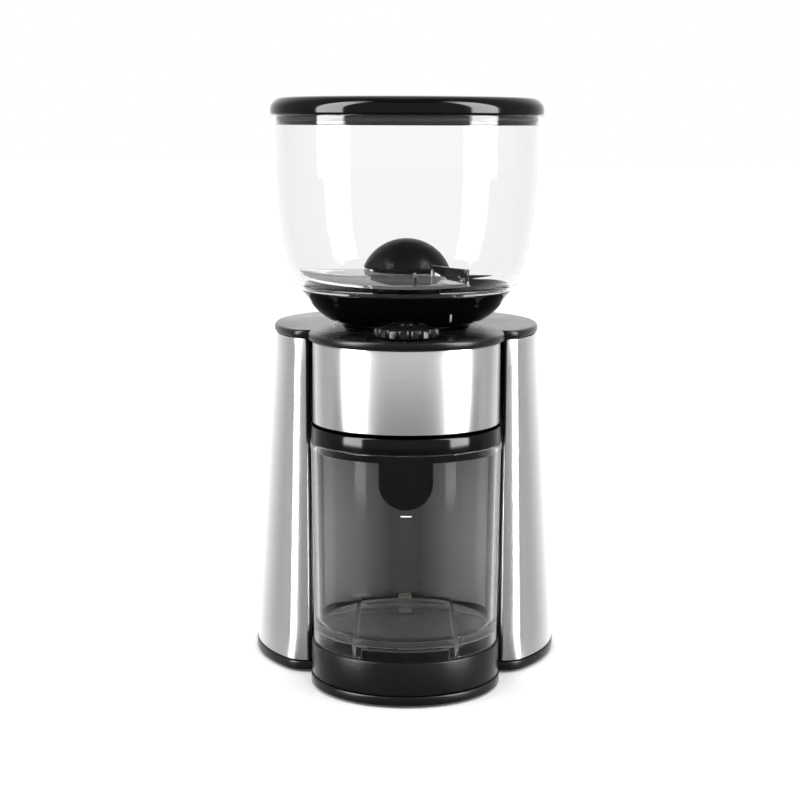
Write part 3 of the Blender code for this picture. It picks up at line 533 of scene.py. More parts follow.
# outlines of the barrel and of the bowl under it: radius and height in mm
BARREL_KEYS = [(67.5, 275.4), (67.4, 256.0), (66.4, 238.0), (64.4, 220.0), (61.4, 207.5), (59.8, 203.2),
               (57.4, 199.0), (54.8, 196.6)]
BOWL_KEYS = [(49.4, 190.2), (47.0, 186.4), (42.6, 182.2), (37.5, 179.2), (31.0, 178.0)]


def in_metres(keys):
    """Profile points in metres."""
    return [(r * MM, z * MM) for r, z in keys]


def make_barrel():
    """The clear barrel of the hopper, with its rim flange and slanting foot."""
    foot = fillet([(54.8 * MM, 196.6 * MM, 0.0), (54.0 * MM, 195.8 * MM, 0.4 * MM),
                   (53.2 * MM, 194.8 * MM, 0.0)], 6)
    outside = smooth(in_metres(BARREL_KEYS), 8)[:-1] + foot
    inside = inset(outside, HOPPER_WALL)
    inside[0] = (outside[0][0] - HOPPER_WALL, HOPPER_TOP)
    rim_low = HOPPER_TOP - RIM_HEIGHT
    rim = fillet([(inside[0][0] + 0.4 * MM, HOPPER_TOP, 0.0), (HOPPER_R, HOPPER_TOP, 0.5 * MM),
                  (HOPPER_R, rim_low, 0.4 * MM), (outside[0][0], rim_low, 0.0)])
    shell = turned("hopper_shell", rim + outside + list(reversed(inside)), BURR, 192)
    finish_piece(shell, CLEAR, "hopper", ["hopper"])


def make_bowl():
    """The black bowl and its feed tube, with a lip that carries the barrel's foot."""
    bowl = smooth(in_metres(BOWL_KEYS), 6)
    lining = inset(bowl, HOPPER_WALL)
    floor = BOWL_LOW + HOPPER_WALL
    lining[-1] = (lining[-2][0] - MM, floor)
    lining[0] = (46.0 * MM, 191.6 * MM)
    tube_r, bore_r, tube_low = 14.5 * MM, 12.5 * MM, low_z("hopper_funnel")
    lip_top = 196.9 * MM
    lip = fillet([
        (50.3 * MM, lip_top, 0.0), (51.4 * MM, lip_top, 0.3 * MM), (51.2 * MM, 196.3 * MM, 0.1 * MM),
        (51.1 * MM, 195.9 * MM, 0.1 * MM), (52.9 * MM, 194.4 * MM, 0.3 * MM), (49.4 * MM, 190.2 * MM, 0.0)])
    throat = fillet([
        (31 * MM, BOWL_LOW, 0.0), (tube_r, BOWL_LOW, 1.0 * MM), (tube_r, tube_low, 0.3 * MM),
        (bore_r, tube_low, 0.3 * MM), (bore_r, floor, 1.4 * MM), (20 * MM, floor, 0.0)])
    mouth = [(49.8 * MM, lip_top), (49.4 * MM, 196.4 * MM)]
    funnel = turned("funnel_bowl", lip + bowl[1:] + throat[1:] + list(reversed(mouth + lining)), BURR, 192)
    finish_piece(funnel, GLOSS, "hopper", ["hopper_funnel"])
    make_index_bar(bowl)


def make_collar():
    """The ring under the bowl that sits in the deck's hole."""
    low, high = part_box("hopper_collar")
    collar_r = half_width("hopper_collar")
    inner, neck = collar_r - 2 * MM, collar_r - 0.6 * MM
    collar = turned("hopper_neck", fillet([
        (inner, high.z, 0.0), (collar_r, high.z, 0.4 * MM), (collar_r, DECK_TOP + MM, 0.3 * MM),
        (neck, DECK_TOP + 0.4 * MM, 0.2 * MM), (neck, low.z, 0.3 * MM), (inner, low.z, 0.0)]), BURR, 128)
    finish_piece(collar, GLOSS, "hopper", ["hopper_collar"])


def make_index_bar(bowl):
    """A raised white bar on the bowl that points at the turn marks."""
    middle_x, half, proud = 21.4 * MM, 0.45 * MM, 0.2 * MM
    bar_low, bar_top = 181.4 * MM, 185.8 * MM
    shape = bmesh.new()
    rows = []
    for r, z in bowl:
        if bar_low < z < bar_top:
            row = []
            for lift, x in ((0.0, -half), (proud, -half), (proud, half), (0.0, half)):
                x += middle_x
                row.append(shape.verts.new((x, BURR[1] - sqrt((r + lift) ** 2 - (x - BURR[0]) ** 2), z)))
            rows.append(row)
    for upper, lower in zip(rows, rows[1:]):
        bridge(shape, upper, lower)
    shape.faces.new(rows[0])
    shape.faces.new(list(reversed(rows[-1])))
    bmesh.ops.recalc_face_normals(shape, faces=shape.faces)
    finish_piece(build("index_bar", shape), PRINT, "hopper")


def make_dome():
    """The cap over the feed hole, on a neck with windows that let the beans through."""
    low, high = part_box("bean_dome")
    dome_r = half_width("bean_dome")
    neck_r, neck_wall, under_cap = 17 * MM, 1.8 * MM, 204.6 * MM
    curve_r = 23.5 * MM
    cap = arc((0.0, high.z - curve_r), curve_r, pi / 2, pi / 2 - asin(dome_r / curve_r), 24)
    cap[0] = (0.0, high.z)
    rim_z = cap[-1][1]
    rest = fillet([
        (dome_r, rim_z, 0.0), (dome_r - 0.3 * MM, rim_z - 0.7 * MM, 0.3 * MM), (neck_r, under_cap, 0.6 * MM),
        (neck_r, low.z, 0.3 * MM), (neck_r - neck_wall, low.z, 0.3 * MM),
        (neck_r - neck_wall, under_cap, 0.5 * MM), (dome_r - 3 * MM, rim_z + MM, 0.5 * MM),
        (12 * MM, 214 * MM, 3 * MM), (0.0, high.z - 2.4 * MM, 0.0)])
    dome = turned("feed_dome", cap + rest[1:], BURR, 96)
    half, reach, window_low, window_top = 8.5 * MM, 30 * MM, 185 * MM, 197 * MM
    for turn in (45, 135):
        window = rounded_box("window", (-reach, -half, window_low), (reach, half, window_top), 1.5 * MM)
        window.data.transform(Matrix.Rotation(radians(turn), 4, "Z"))
        window.data.transform(AT_BURR)
        boolean(dome, window, "DIFFERENCE")
    finish_piece(dome, DOME_BLACK, "hopper", ["bean_dome"])


def make_guard():
    """The clear plate over part of the bowl, with its end rib and middle rib."""
    plate_z, tilt, plate_half, rib_half = 203.9 * MM, radians(4.5), 0.7 * MM, 0.8 * MM
    slope = Matrix.Translation((*BURR, plate_z)) @ Matrix.Rotation(tilt, 4, "X")
    sector = ring_sector((0.0, 0.0), 18.6 * MM, 53.6 * MM, radians(-180), radians(-56), 48)
    plate = slab("bean_plate", [sector], -plate_half, plate_half, 0.3 * MM, 2)
    plate.data.transform(slope)
    end = rounded_box("rib", (23 * MM, -rib_half, 200.4 * MM), (53.4 * MM, rib_half, 208 * MM), 0.3 * MM, 2)
    end.data.transform(Matrix.Rotation(radians(-57), 4, "Z"))
    end.data.transform(AT_BURR)
    boolean(plate, end, "UNION")
    rib = rounded_box("rib", (3.2 * MM, -75 * MM, 199.6 * MM), (4.8 * MM, -48 * MM, 204.4 * MM), 0.3 * MM, 2)
    boolean(plate, rib, "UNION")
    finish_piece(plate, CLEAR_CUP, "hopper", ["bean_guard"])


def make_hopper_lid():
    """The lid, with a fine groove round its top and a skirt that holds the seal."""
    low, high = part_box("hopper_lid")
    lid_r, seat, ceiling = half_width("hopper_lid"), HOPPER_TOP + GAP, 287.2 * MM
    skirt_r, groove_r, skirt_in = 64.9 * MM, 63.8 * MM, 62.4 * MM
    groove_low, groove_top = 277.6 * MM, 279.8 * MM
    profile = fillet([
        (0.0, high.z, 0.0), (57.5 * MM, high.z - 0.1 * MM, 0.6 * MM),
        (58.3 * MM, high.z - 0.7 * MM, 0.5 * MM), (59.2 * MM, high.z - 0.15 * MM, 0.5 * MM),
        (64.8 * MM, high.z - 0.6 * MM, 2.0 * MM), (lid_r, high.z - 4.2 * MM, 2.4 * MM),
        (lid_r, seat, 0.7 * MM), (skirt_r, seat, 0.3 * MM), (skirt_r, groove_top, 0.2 * MM),
        (groove_r, groove_top, 0.2 * MM), (groove_r, groove_low, 0.2 * MM), (skirt_r, groove_low, 0.2 * MM),
        (skirt_r, low.z, 0.4 * MM), (skirt_in, low.z, 0.4 * MM), (skirt_in, 285.4 * MM, 1.5 * MM),
        (58.0 * MM, ceiling, 1.5 * MM), (0.0, ceiling, 0.0)], 6)
    lid = turned("lid_cap", profile, BURR, 192)
    finish_piece(lid, GLOSS, "hopper_lid", ["hopper_lid"])
    low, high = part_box("lid_seal")
    outer, inner, rounding = half_width("lid_seal"), groove_r + GAP, 0.5 * MM
    ring = fillet([
        (inner, high.z, 0.0), (outer, high.z, rounding), (outer, low.z, rounding), (inner, low.z, 0.0)])
    finish_piece(turned("lid_gasket", ring, BURR, 160), RUBBER, "hopper_lid", ["lid_seal"])


# ------------------------------------------------------------------ deck and dial


def round_hole(centre, radius, sides):
    """A circle's outline that runs the opposite way to a plate's own outline."""
    return list(reversed(arc(centre, radius, 0.0, 2 * pi * (sides - 1) / sides, sides - 1)))


def make_deck():
    """The deck, with holes for the hopper's collar and the dial's stem."""
    holes = [round_hole(BURR, 32 * MM, 96), round_hole(DIAL, 4 * MM, 32)]
    deck = slab("deck_top", [body_outline(48 * MM, DECK_WING)] + holes, DECK_Z, DECK_TOP, 1.5 * MM, 5)
    finish_piece(deck, SATIN, "body", ["top_deck"])


def print_on_deck(name, outline):
    """A thin white mark that lies on the deck."""
    half = 0.05 * MM
    mark = slab(name, [outline], DECK_TOP - half, DECK_TOP + half, 0.02 * MM, 1)
    finish_piece(mark, PRINT, "body")


def make_deck_marks():
    """Two curved arrows round the hopper that show which way it turns."""
    middle_r, half, tip_half, tip_turn = 36.6 * MM, 0.5 * MM, 1.9 * MM, radians(6)
    for name, start, end in (("turn_mark_left", 200, 156), ("turn_mark_right", -20, 24)):
        start, end = radians(start), radians(end)
        print_on_deck(name, ring_sector(BURR, middle_r - half, middle_r + half, start, end, 24))
        lean = tip_turn if end > start else -tip_turn
        corners = ((middle_r, end + lean), (middle_r - tip_half, end), (middle_r + tip_half, end))
        tip = [(BURR[0] + r * cos(turn), BURR[1] + r * sin(turn)) for r, turn in corners]
        print_on_deck(name + "_tip", tip)


FLUTES, FLUTE_DEPTH, SIDES_PER_FLUTE = 17, 0.9 * MM, 12


def fluted_rings(rows):
    """Rings of points round the dial; each row is (radius, height, share of the full flute depth)."""
    sides = FLUTES * SIDES_PER_FLUTE
    rings = []
    for r, z, fluted in rows:
        ring = []
        for side in range(sides):
            turn = 2 * pi * side / sides
            reach = r - FLUTE_DEPTH * fluted * max(0.0, cos(FLUTES * turn)) ** 0.6
            ring.append((DIAL[0] + reach * cos(turn), DIAL[1] + reach * sin(turn), z))
        rings.append(ring)
    return rings


def make_dial():
    """The control dial, with a fluted rim and a hollow stem through the deck."""
    low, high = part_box("dial")
    knob_r = half_width("dial") - 0.02 * MM
    skirt_low, skirt_top, under_top = DECK_TOP + 0.4 * MM, 180.4 * MM, 178.2 * MM
    mouth_r, stem_r, bore_r, round_off = 6.2 * MM, 3.6 * MM, 2.0 * MM, 0.5 * MM
    rows = [(mouth_r, high.z, 0.0), (8.6 * MM, high.z - 0.2 * MM, 0.0), (13.6 * MM, 181.2 * MM, 0.0),
            (14.7 * MM, 180.8 * MM, 0.4), (knob_r, skirt_top - round_off, 1.0),
            (knob_r, skirt_low + round_off, 1.0), (knob_r - round_off, skirt_low, 0.8),
            (stem_r, skirt_low, 0.0), (stem_r, low.z, 0.0), (bore_r, low.z, 0.0), (bore_r, under_top, 0.0),
            (mouth_r, under_top, 0.0)]
    shape = bmesh.new()
    rings = [[shape.verts.new(point) for point in ring] for ring in fluted_rings(rows)]
    for upper, lower in zip(rings, rings[1:] + rings[:1]):
        bridge(shape, upper, lower)
    finish_piece(build("dial_knob", shape, 40.0), SATIN, "dial", ["dial"])


def make_button():
    """The domed button in the middle of the dial."""
    low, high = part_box("start_button")
    cap_r, stem_r, cap_low = half_width("start_button"), 1.6 * MM, 180.2 * MM
    profile = fillet([
        (0.0, high.z, 0.0), (3.4 * MM, high.z - 0.2 * MM, 2.0 * MM), (cap_r, 182.2 * MM, 1.6 * MM),
        (cap_r, cap_low, 0.4 * MM), (stem_r, cap_low, 0.3 * MM), (stem_r, low.z, 0.2 * MM),
        (0.0, low.z, 0.0)], 6)
    button = turned("button_cap", profile, DIAL, 64)
    finish_piece(button, GLOSS, "start_button", ["start_button"])


# ------------------------------------------------------------------ body panels

SKIN_WALL, COVER_WALL = 0.8 * MM, 2.0 * MM
SKIN_FRONT_X, SKIN_BACK_X, SKIN_FOLD = 48.2 * MM, 44.0 * MM, 1.8 * MM
LEVELS = 12


def make_panel():
    """The steel band round the front of the body."""
    outer, wall, end = 46.1 * MM, 0.6 * MM, radians(88)
    band = ring_sector(LOBE, outer - wall, outer, -pi / 2 - end, -pi / 2 + end, 120)
    panel = slab("steel_panel", [band], low_z("front_panel"), top_z("front_panel"), 0.18 * MM, 2)
    finish_piece(panel, STEEL, "body", ["front_panel"])


def wing_section(z):
    """The wings' plan at a height."""
    t = (z - BASE_Z) / (DECK_Z - BASE_Z)
    return [low + (high - low) * t for low, high in zip(BASE_WING, DECK_WING)]


def sheet_heights(wall):
    """Levels of a sloping wall, whose inner rim sits lower than its outer rim."""
    low, high = BASE_Z + wall * 0.3, DECK_Z - GAP
    return [low + (high - low) * level / LEVELS for level in range(LEVELS + 1)]


def skin_rows(side):
    """Rows of points up a steel skin; side is 1 on the right and -1 on the left."""
    rows = []
    for z in sheet_heights(SKIN_WALL):
        points = wing_side(wing_section(z), SKIN_FRONT_X, SKIN_BACK_X, fold=SKIN_FOLD)
        rows.append([(side * x, y, z) for x, y in points])
    return rows


def cover_rows(edge_x):
    """Rows of points up the back cover, which reaches edge_x to each side."""
    rows = []
    for z in sheet_heights(COVER_WALL):
        back_y, radius = wing_section(z)[1:3]
        turn = acos(edge_x / radius)
        rows.append([(x, y, z) for x, y in arc((0.0, back_y), radius, turn, pi - turn, 60)])
    return rows


def sheet(name, rows, wall, flip):
    """A curved sheet through rows of points, thickened inwards, with softened edges."""
    shape = bmesh.new()
    grid = [[shape.verts.new(point) for point in row] for row in rows]
    for lower, upper in zip(grid, grid[1:]):
        for i in range(len(lower) - 1):
            quad = (lower[i], lower[i + 1], upper[i + 1], upper[i])
            shape.faces.new(tuple(reversed(quad)) if flip else quad)
    obj = build(name, shape)
    solid = obj.modifiers.new("wall", "SOLIDIFY")
    solid.thickness = wall
    solid.offset = -1.0
    solid.use_even_offset = True
    edge = obj.modifiers.new("edge", "BEVEL")
    edge.width = wall * 0.3
    edge.segments = 2
    edge.angle_limit = radians(50)
    edge.limit_method = "ANGLE"
    return apply_modifiers(obj)


def make_skins():
    """The two steel side skins."""
    for name, node, side in (("steel_skin_left", "left_skin", -1), ("steel_skin_right", "right_skin", 1)):
        skin = sheet(name, skin_rows(side), SKIN_WALL, side == -1)
        finish_piece(skin, STEEL, "body", [node])


def make_cover():
    """The black back cover, with five vents and a hole for the cord gland."""
    cover = sheet("rear_cover", cover_rows(SKIN_BACK_X - 0.5 * MM), COVER_WALL, False)
    slot_x, slot_low, slot_height, slot_pitch = 24 * MM, 122 * MM, 2.4 * MM, 7 * MM
    for number in range(5):
        z = slot_low + slot_pitch * number
        tool = rounded_box("slot", (-slot_x, 40 * MM, z), (slot_x, 110 * MM, z + slot_height), 1.1 * MM)
        boolean(cover, tool, "DIFFERENCE")
    gland_low, gland_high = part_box("cord_gland")
    place = Matrix.Translation((0, 96 * MM, (gland_low.z + gland_high.z) / 2))
    hole_r, reach = 5.4 * MM, 12 * MM
    tool = turned("hole", [(0.0, reach), (hole_r, reach), (hole_r, -reach), (0.0, -reach)], (0, 0), 48)
    tool.data.transform(place @ Matrix.Rotation(pi / 2, 4, "X"))
    boolean(cover, tool, "DIFFERENCE")
    finish_piece(cover, SATIN, "body", ["back_cover"])


def bay_wall_line(inner_x, corner, front_y, grow):
    """Plan line of the bay's wall from its right front end round the back to its left front end."""
    centre_x, r = inner_x - corner, corner + grow
    right = arc((centre_x, -corner), r, 0.0, pi / 2, 16)
    left = arc((-centre_x, -corner), r, pi / 2, pi, 16)
    return [(inner_x + grow, front_y)] + right + left + [(-inner_x - grow, front_y)]


def make_bay():
    """The wall round the container, with a window for the interlock plunger."""
    low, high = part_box("bay_wall")
    inner_x, wall, corner = 47.6 * MM, 1.4 * MM, 9 * MM
    inner = bay_wall_line(inner_x, corner, low.y, 0.0)
    outer = bay_wall_line(inner_x, corner, low.y, wall)
    bay = slab("bay_lining", [inner + list(reversed(outer))], low.z, high.z, 0.25 * MM, 2)
    tool = rounded_box("window", (-4.2 * MM, -2 * MM, 22.5 * MM), (4.2 * MM, 6 * MM, 28.2 * MM), 0.5 * MM)
    boolean(bay, tool, "DIFFERENCE")
    finish_piece(bay, BAY_GREY_WITH_PAINTED_LIGHT, "body", ["bay_wall"])


def make_base_plate():
    """The plate under everything, with pockets for the feet and stepped wells for the screws."""
    low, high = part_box("base_plate")
    plate = slab("foot_plate", [body_outline(47.2 * MM, BASE_WING)], low.z, high.z, 0.7 * MM, 3)
    pocket_r, pocket_top, below = 7.4 * MM, low.z + 2.5 * MM, -MM
    head_r, shank_r, head_top, shank_top = 3.6 * MM, 1.8 * MM, 3.7 * MM, 9 * MM
    for number in range(1, 5):
        pocket = [(0.0, pocket_top), (pocket_r, pocket_top), (pocket_r, below), (0.0, below)]
        boolean(plate, turned("pocket", pocket, middle(f"foot_{number}"), 48), "DIFFERENCE")
        well = [(0.0, shank_top), (shank_r, shank_top), (shank_r, head_top), (head_r, head_top),
                (head_r, below), (0.0, below)]
        boolean(plate, turned("well", well, middle(f"base_screw_{number}"), 32), "DIFFERENCE")
    finish_piece(plate, SATIN, "body", ["base_plate"])


def make_feet():
    """Four rubber feet, each slightly hollow underneath."""
    hollow = 0.35 * MM
    for number in range(1, 5):
        node = f"foot_{number}"
        top, foot_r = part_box(node)[1].z, half_width(node)
        profile = fillet([
            (0.0, top, 0.0), (foot_r, top, 0.4 * MM), (foot_r, 0.0, 0.6 * MM), (foot_r - 2 * MM, 0.0, 0.0),
            (foot_r - 2.4 * MM, hollow, 0.2 * MM), (0.0, hollow, 0.0)])
        foot = turned(f"rubber_{node}", profile, middle(node), 48)
        finish_piece(foot, RUBBER, "body", [node])


def make_plinth():
    """The hollow plinth under the container."""
    low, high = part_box("base_plinth")
    radius, wall, corner, back = 46.5 * MM, 2.2 * MM, 8.2 * MM, -MM
    plinth = slab("plinth", [bay_outline(radius, back, corner)], low.z, high.z, 0.5 * MM, 3)
    inside = bay_outline(radius - wall, back - wall, corner - wall)
    boolean(plinth, slab("hollow", [inside], low.z - MM, high.z - wall, 0.1 * MM), "DIFFERENCE")
    finish_piece(plinth, SATIN, "body", ["base_plinth"])


# ------------------------------------------------------------------ grounds container


def make_cup():
    """The clear cup, which stands on its skirt, with two ribs and a front recess under its floor."""
    low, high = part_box("container")
    foot_r, mouth_r, wall = 45.5 * MM, 46.8 * MM, 1.8 * MM
    rim_r = half_width("container")
    floor_low, floor_top = 28.8 * MM, 31.0 * MM
    profile = fillet([
        (0.0, floor_top, 0.0), (foot_r - wall - 0.2 * MM, floor_top, 4.0 * MM),
        (mouth_r - wall, high.z, 0.4 * MM), (rim_r, high.z, 0.4 * MM), (rim_r, 119.3 * MM, 0.3 * MM),
        (mouth_r, 118.9 * MM, 0.3 * MM), (foot_r, low.z, 0.5 * MM), (foot_r - wall, low.z, 0.4 * MM),
        (foot_r - wall, floor_low, 1.2 * MM), (0.0, floor_low, 0.0)], 5)
    cup = turned("grounds_cup", profile, LOBE, 192)
    rib_x, rib_half, reach = 24.5 * MM, 0.8 * MM, 37 * MM
    rib_low, rib_top = low.z + 0.4 * MM, floor_low + 0.6 * MM
    rib_front, rib_back = LOBE[1] - reach, LOBE[1] + reach
    for x in (-rib_x, rib_x):
        rib = rounded_box("rib", (x - rib_half, rib_front, rib_low), (x + rib_half, rib_back, rib_top),
                          0.3 * MM, 2)
        boolean(cup, rib, "UNION")
    recess_x, recess_low, recess_top = 21 * MM, low.z - 3 * MM, 27.4 * MM
    recess = rounded_box("recess", (-recess_x, -104 * MM, recess_low), (recess_x, -92 * MM, recess_top),
                         0.8 * MM)
    boolean(cup, recess, "DIFFERENCE")
    finish_piece(cup, CLEAR_CUP, "container", ["container"])


def make_level_bar():
    """The short white line on the front of the cup."""
    z, half, wall_r, turn = 93.7 * MM, 0.28 * MM, 46.38 * MM, radians(3.2)
    line = ring_sector(LOBE, wall_r, wall_r + 0.1 * MM, -pi / 2 - turn, -pi / 2 + turn, 8)
    finish_piece(slab("level_bar", [line], z - half, z + half, 0.03 * MM, 1), PRINT, "container")


def make_cup_lid():
    """The cup's lid, with an inlet for the grounds and a round-ended apron that hangs behind it."""
    top, lid_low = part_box("container_lid")[1].z, top_z("container") + GAP
    lid_r = half_width("container_lid")
    skirt_r, skirt_low, under_top = 44.3 * MM, 118.6 * MM, 126.2 * MM
    skirt_in, dish = skirt_r - 1.4 * MM, top - 2 * MM
    profile = fillet([
        (0.0, dish, 0.0), (40.6 * MM, dish, 0.8 * MM), (42 * MM, top, 0.8 * MM),
        (lid_r - 0.45 * MM, top, 1.0 * MM), (lid_r, lid_low, 0.3 * MM), (skirt_r, lid_low, 0.2 * MM),
        (skirt_r, skirt_low, 0.3 * MM), (skirt_in, skirt_low, 0.3 * MM), (skirt_in, under_top, 1.0 * MM),
        (0.0, under_top, 0.0)], 5)
    lid = turned("cup_lid", profile, LOBE, 160)
    inlet_x, inlet_top = 12 * MM, top + 6 * MM
    inlet = rounded_box("inlet", (-inlet_x, -73 * MM, 116 * MM), (inlet_x, -59.4 * MM, inlet_top), 2.0 * MM)
    boolean(lid, inlet, "DIFFERENCE")
    radius, straight, half_thick = 13.5 * MM, -27 * MM, 0.7 * MM
    outline = arc((0.0, straight), radius, -pi, 0.0, 32) + [(radius, 0.0), (-radius, 0.0)]
    apron = slab("apron", [outline], -half_thick, half_thick, 0.3 * MM, 2)
    apron.data.transform(Matrix.Translation((0, -57.4 * MM, 127.4 * MM)) @ Matrix.Rotation(pi / 2, 4, "X"))
    boolean(lid, apron, "UNION")
    finish_piece(lid, GLOSS, "container", ["container_lid"])


# ------------------------------------------------------------------ stage, lamps and camera


FLOOR_REACH = 12.0


def make_stage():
    """A wide white floor; reflections and clear plastic look past it to the studio."""
    shape = bmesh.new()
    bmesh.ops.create_grid(shape, x_segments=1, y_segments=1, size=FLOOR_REACH)
    floor = build("floor", shape)
    mat = new_material("floor_white", (0.80, 0.80, 0.80), 0.9, Specular_IOR_Level=0.0)
    tint(mat, noise(mat, 3.0, 2.0), (0.795, 0.795, 0.795), (0.805, 0.805, 0.805))
    nodes, links = nodes_of(mat)
    past = nodes.new("ShaderNodeBsdfTransparent")
    path = nodes.new("ShaderNodeLightPath")
    through = maths(nodes, links, "MINIMUM", path.outputs["Transmission Depth"], 1.0)
    unseen = maths(nodes, links, "MAXIMUM", mirror_ray(nodes, links), through)
    blend(nodes, links, unseen, nodes["Principled BSDF"].outputs["BSDF"], past.outputs["BSDF"],
          "Material Output")
    floor.data.materials.append(mat)


def mirror_ray(nodes, links):
    """1 for a ray that has been reflected, 0 for one that comes straight or through clear plastic."""
    path = nodes.new("ShaderNodeLightPath")
    return maths(nodes, links, "MINIMUM", path.outputs["Glossy Depth"], 1.0)


def tone_curve(nodes, links, value, stops):
    """Grey levels along a value, from stops of (value, level) in rising order."""
    low, high = stops[0][0], stops[-1][0]
    ranged = nodes.new("ShaderNodeMapRange")
    ranged.inputs["From Min"].default_value = low
    ranged.inputs["From Max"].default_value = high
    links.new(value, ranged.inputs["Value"])
    ramp = nodes.new("ShaderNodeValToRGB")
    links.new(ranged.outputs["Result"], ramp.inputs["Fac"])
    elements = ramp.color_ramp.elements
    elements[0].color = (*[stops[0][1]] * 3, 1.0)
    elements[1].color = (*[stops[-1][1]] * 3, 1.0)
    for place, level in stops[1:-1]:
        elements.new((place - low) / (high - low)).color = (level, level, level, 1.0)
    return ramp.outputs["Color"]


STRIP = 30.0                          # brightness of the two tall soft boxes
SECOND_TIME = 1.3                     # the most that any later reflection of them shows
FILL = 0.6                            # extra light from all round on matt surfaces
# brightness of the studio round the object, by degrees from the front
AROUND = [(0, 0.92), (40, 0.92), (53.5, 0.92), (55, STRIP), (79.5, STRIP), (81, 0.65), (102, 0.6),
          (123, 0.52), (134, 0.75), (147, 1.05), (168, 1.5), (180, 1.5)]
# how far up and down that ring reaches, by degrees of height, and where it reaches all the way
# up and down, by degrees from the front; past it, the ceiling and the ground, by degrees of height
RING = [(-90, 0.0), (-5.5, 0.0), (-4, 1.0), (50, 1.0), (70, 0.0), (90, 0.0)]
FULL_HEIGHT = [(0, 0.0), (96, 0.0), (104, 1.0), (180, 1.0)]
ABOVE_AND_BELOW = [(-90, 0.4), (-50, 0.25), (-20, 0.25), (-7, 0.4), (16, 0.3), (60, 0.2), (90, 0.35)]


def ray_angles(nodes, links):
    """Degrees from the front, the same to either side, and degrees up, of the way a ray goes."""
    coords = nodes.new("ShaderNodeTexCoord")
    split = nodes.new("ShaderNodeSeparateXYZ")
    links.new(coords.outputs["Generated"], split.inputs["Vector"])
    sideways = maths(nodes, links, "ABSOLUTE", split.outputs["X"])
    forwards = maths(nodes, links, "MULTIPLY", split.outputs["Y"], -1.0)
    turn = maths(nodes, links, "ARCTAN2", sideways, forwards)
    rise = maths(nodes, links, "ARCSINE", split.outputs["Z"])
    return maths(nodes, links, "DEGREES", turn), maths(nodes, links, "DEGREES", rise)


def studio_brightness(nodes, links):
    """Brightness of the reflected studio; the soft boxes are held back after the first reflection,
    so that they don't show inside the clear parts."""
    turn, rise = ray_angles(nodes, links)
    around = tone_curve(nodes, links, turn, [(place, level / STRIP) for place, level in AROUND])
    ring = tone_curve(nodes, links, rise, RING)
    ring = maths(nodes, links, "MAXIMUM", ring, tone_curve(nodes, links, turn, FULL_HEIGHT))
    lit = maths(nodes, links, "MULTIPLY", maths(nodes, links, "MULTIPLY", around, ring), STRIP)
    path = nodes.new("ShaderNodeLightPath")
    once = maths(nodes, links, "LESS_THAN", path.outputs["Glossy Depth"], 1.5)
    ceiling = maths(nodes, links, "ADD", maths(nodes, links, "MULTIPLY", once, STRIP), SECOND_TIME)
    lit = maths(nodes, links, "MINIMUM", lit, ceiling)
    return maths(nodes, links, "MAXIMUM", lit, tone_curve(nodes, links, rise, ABOVE_AND_BELOW))


def make_world():
    """Plain white all round; in reflections, a studio with two tall soft boxes at the sides."""
    world = bpy.data.worlds.new("studio")
    bpy.context.scene.world = world
    world.use_nodes = True
    world.cycles.sampling_method = "NONE"
    nodes, links = world.node_tree.nodes, world.node_tree.links
    white, studio = nodes["Background"], nodes.new("ShaderNodeBackground")
    for background in (white, studio):
        background.inputs["Color"].default_value = (1.0, 1.0, 1.0, 1.0)
    path = nodes.new("ShaderNodeLightPath")
    fill = maths(nodes, links, "MULTIPLY", path.outputs["Is Diffuse Ray"], FILL)
    links.new(maths(nodes, links, "ADD", fill, 1.0), white.inputs["Strength"])
    links.new(studio_brightness(nodes, links), studio.inputs["Strength"])
    blend(nodes, links, mirror_ray(nodes, links), white.outputs["Background"],
          studio.outputs["Background"], "World Output")


LAMP_TURN, LAMP_DISTANCE, LAMP_HEIGHT = 67.0, 1.3, 0.6
LAMP_WIDTH, LAMP_LENGTH, LAMP_POWER = 0.72, 1.2, 4.0
LAMP_AIM = Vector((0.0, 0.0, 0.15))


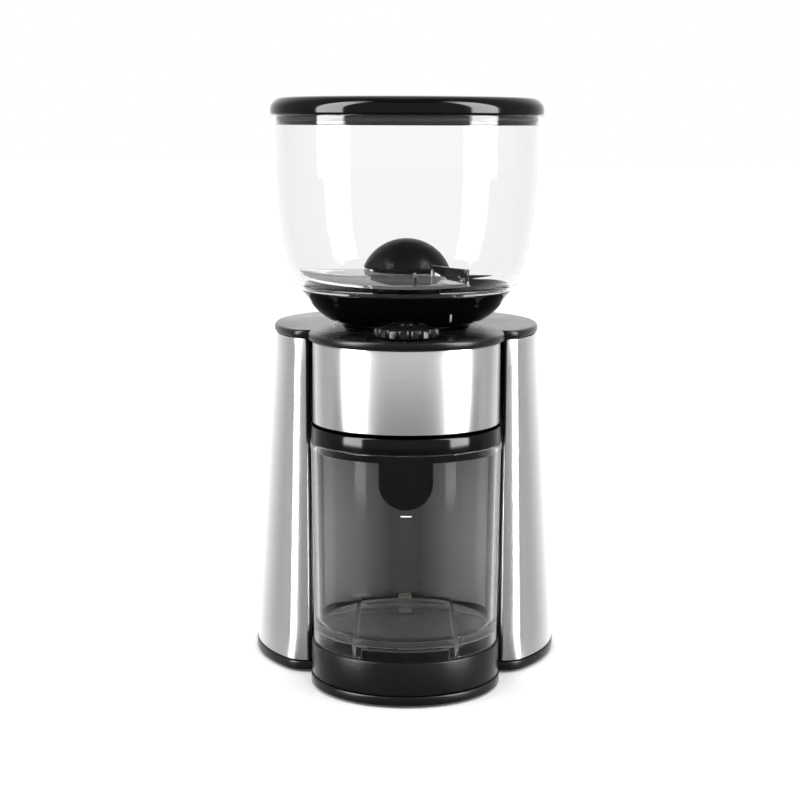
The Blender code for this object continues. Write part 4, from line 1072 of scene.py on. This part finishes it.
def make_lamp(name, azimuth):
    """A tall soft lamp that lights matt surfaces; azimuth 0 is in front of the object."""
    data = bpy.data.lights.new(name, "AREA")
    data.shape = "RECTANGLE"
    data.size, data.size_y = LAMP_WIDTH, LAMP_LENGTH
    data.energy = LAMP_POWER
    lamp = bpy.data.objects.new(name, data)
    turn = radians(azimuth)
    lamp.location = (LAMP_DISTANCE * sin(turn), -LAMP_DISTANCE * cos(turn), LAMP_HEIGHT)
    lamp.rotation_euler = (LAMP_AIM - lamp.location).to_track_quat("-Z", "Y").to_euler()
    lamp.visible_glossy = False
    lamp.visible_transmission = False
    bpy.context.scene.collection.objects.link(lamp)


CAMERA_PLACE = (-0.0035, -0.9585, 0.278)
CAMERA_TILT, CAMERA_ROLL = radians(81.45), radians(-0.2)
LENS, SENSOR_WIDTH = 83.5, 36.0       # in mm
NEAREST = 0.01


def make_camera():
    data = bpy.data.cameras.new("camera")
    data.lens = LENS
    data.sensor_width = SENSOR_WIDTH
    data.clip_start = NEAREST
    camera = bpy.data.objects.new("camera", data)
    camera.location = CAMERA_PLACE
    camera.rotation_euler = (CAMERA_TILT, CAMERA_ROLL, 0.0)
    bpy.context.scene.collection.objects.link(camera)
    bpy.context.scene.camera = camera


# ------------------------------------------------------------------ the scene


def dress_cad_nodes():
    """Give every CAD node the procedural material of its slot."""
    slot_of = {part["node"]: part["material_slot"] for part in frame["record"]["subparts"]}
    for name, obj in frame["nodes"].items():
        look = SLOT_LOOKS[slot_of[name]]
        obj.data.materials.clear()
        obj.data.materials.append(look)


dress_cad_nodes()
make_barrel()
make_bowl()
make_collar()
make_dome()
make_guard()
make_hopper_lid()
make_deck()
make_deck_marks()
make_dial()
make_button()
make_panel()
make_skins()
make_cover()
make_bay()
make_base_plate()
make_feet()
make_plinth()
make_cup()
make_level_bar()
make_cup_lid()
make_stage()
make_lamp("lamp_left", -LAMP_TURN)
make_lamp("lamp_right", LAMP_TURN)
make_world()
make_camera()
bpy.context.scene.view_settings.view_transform = "Standard"
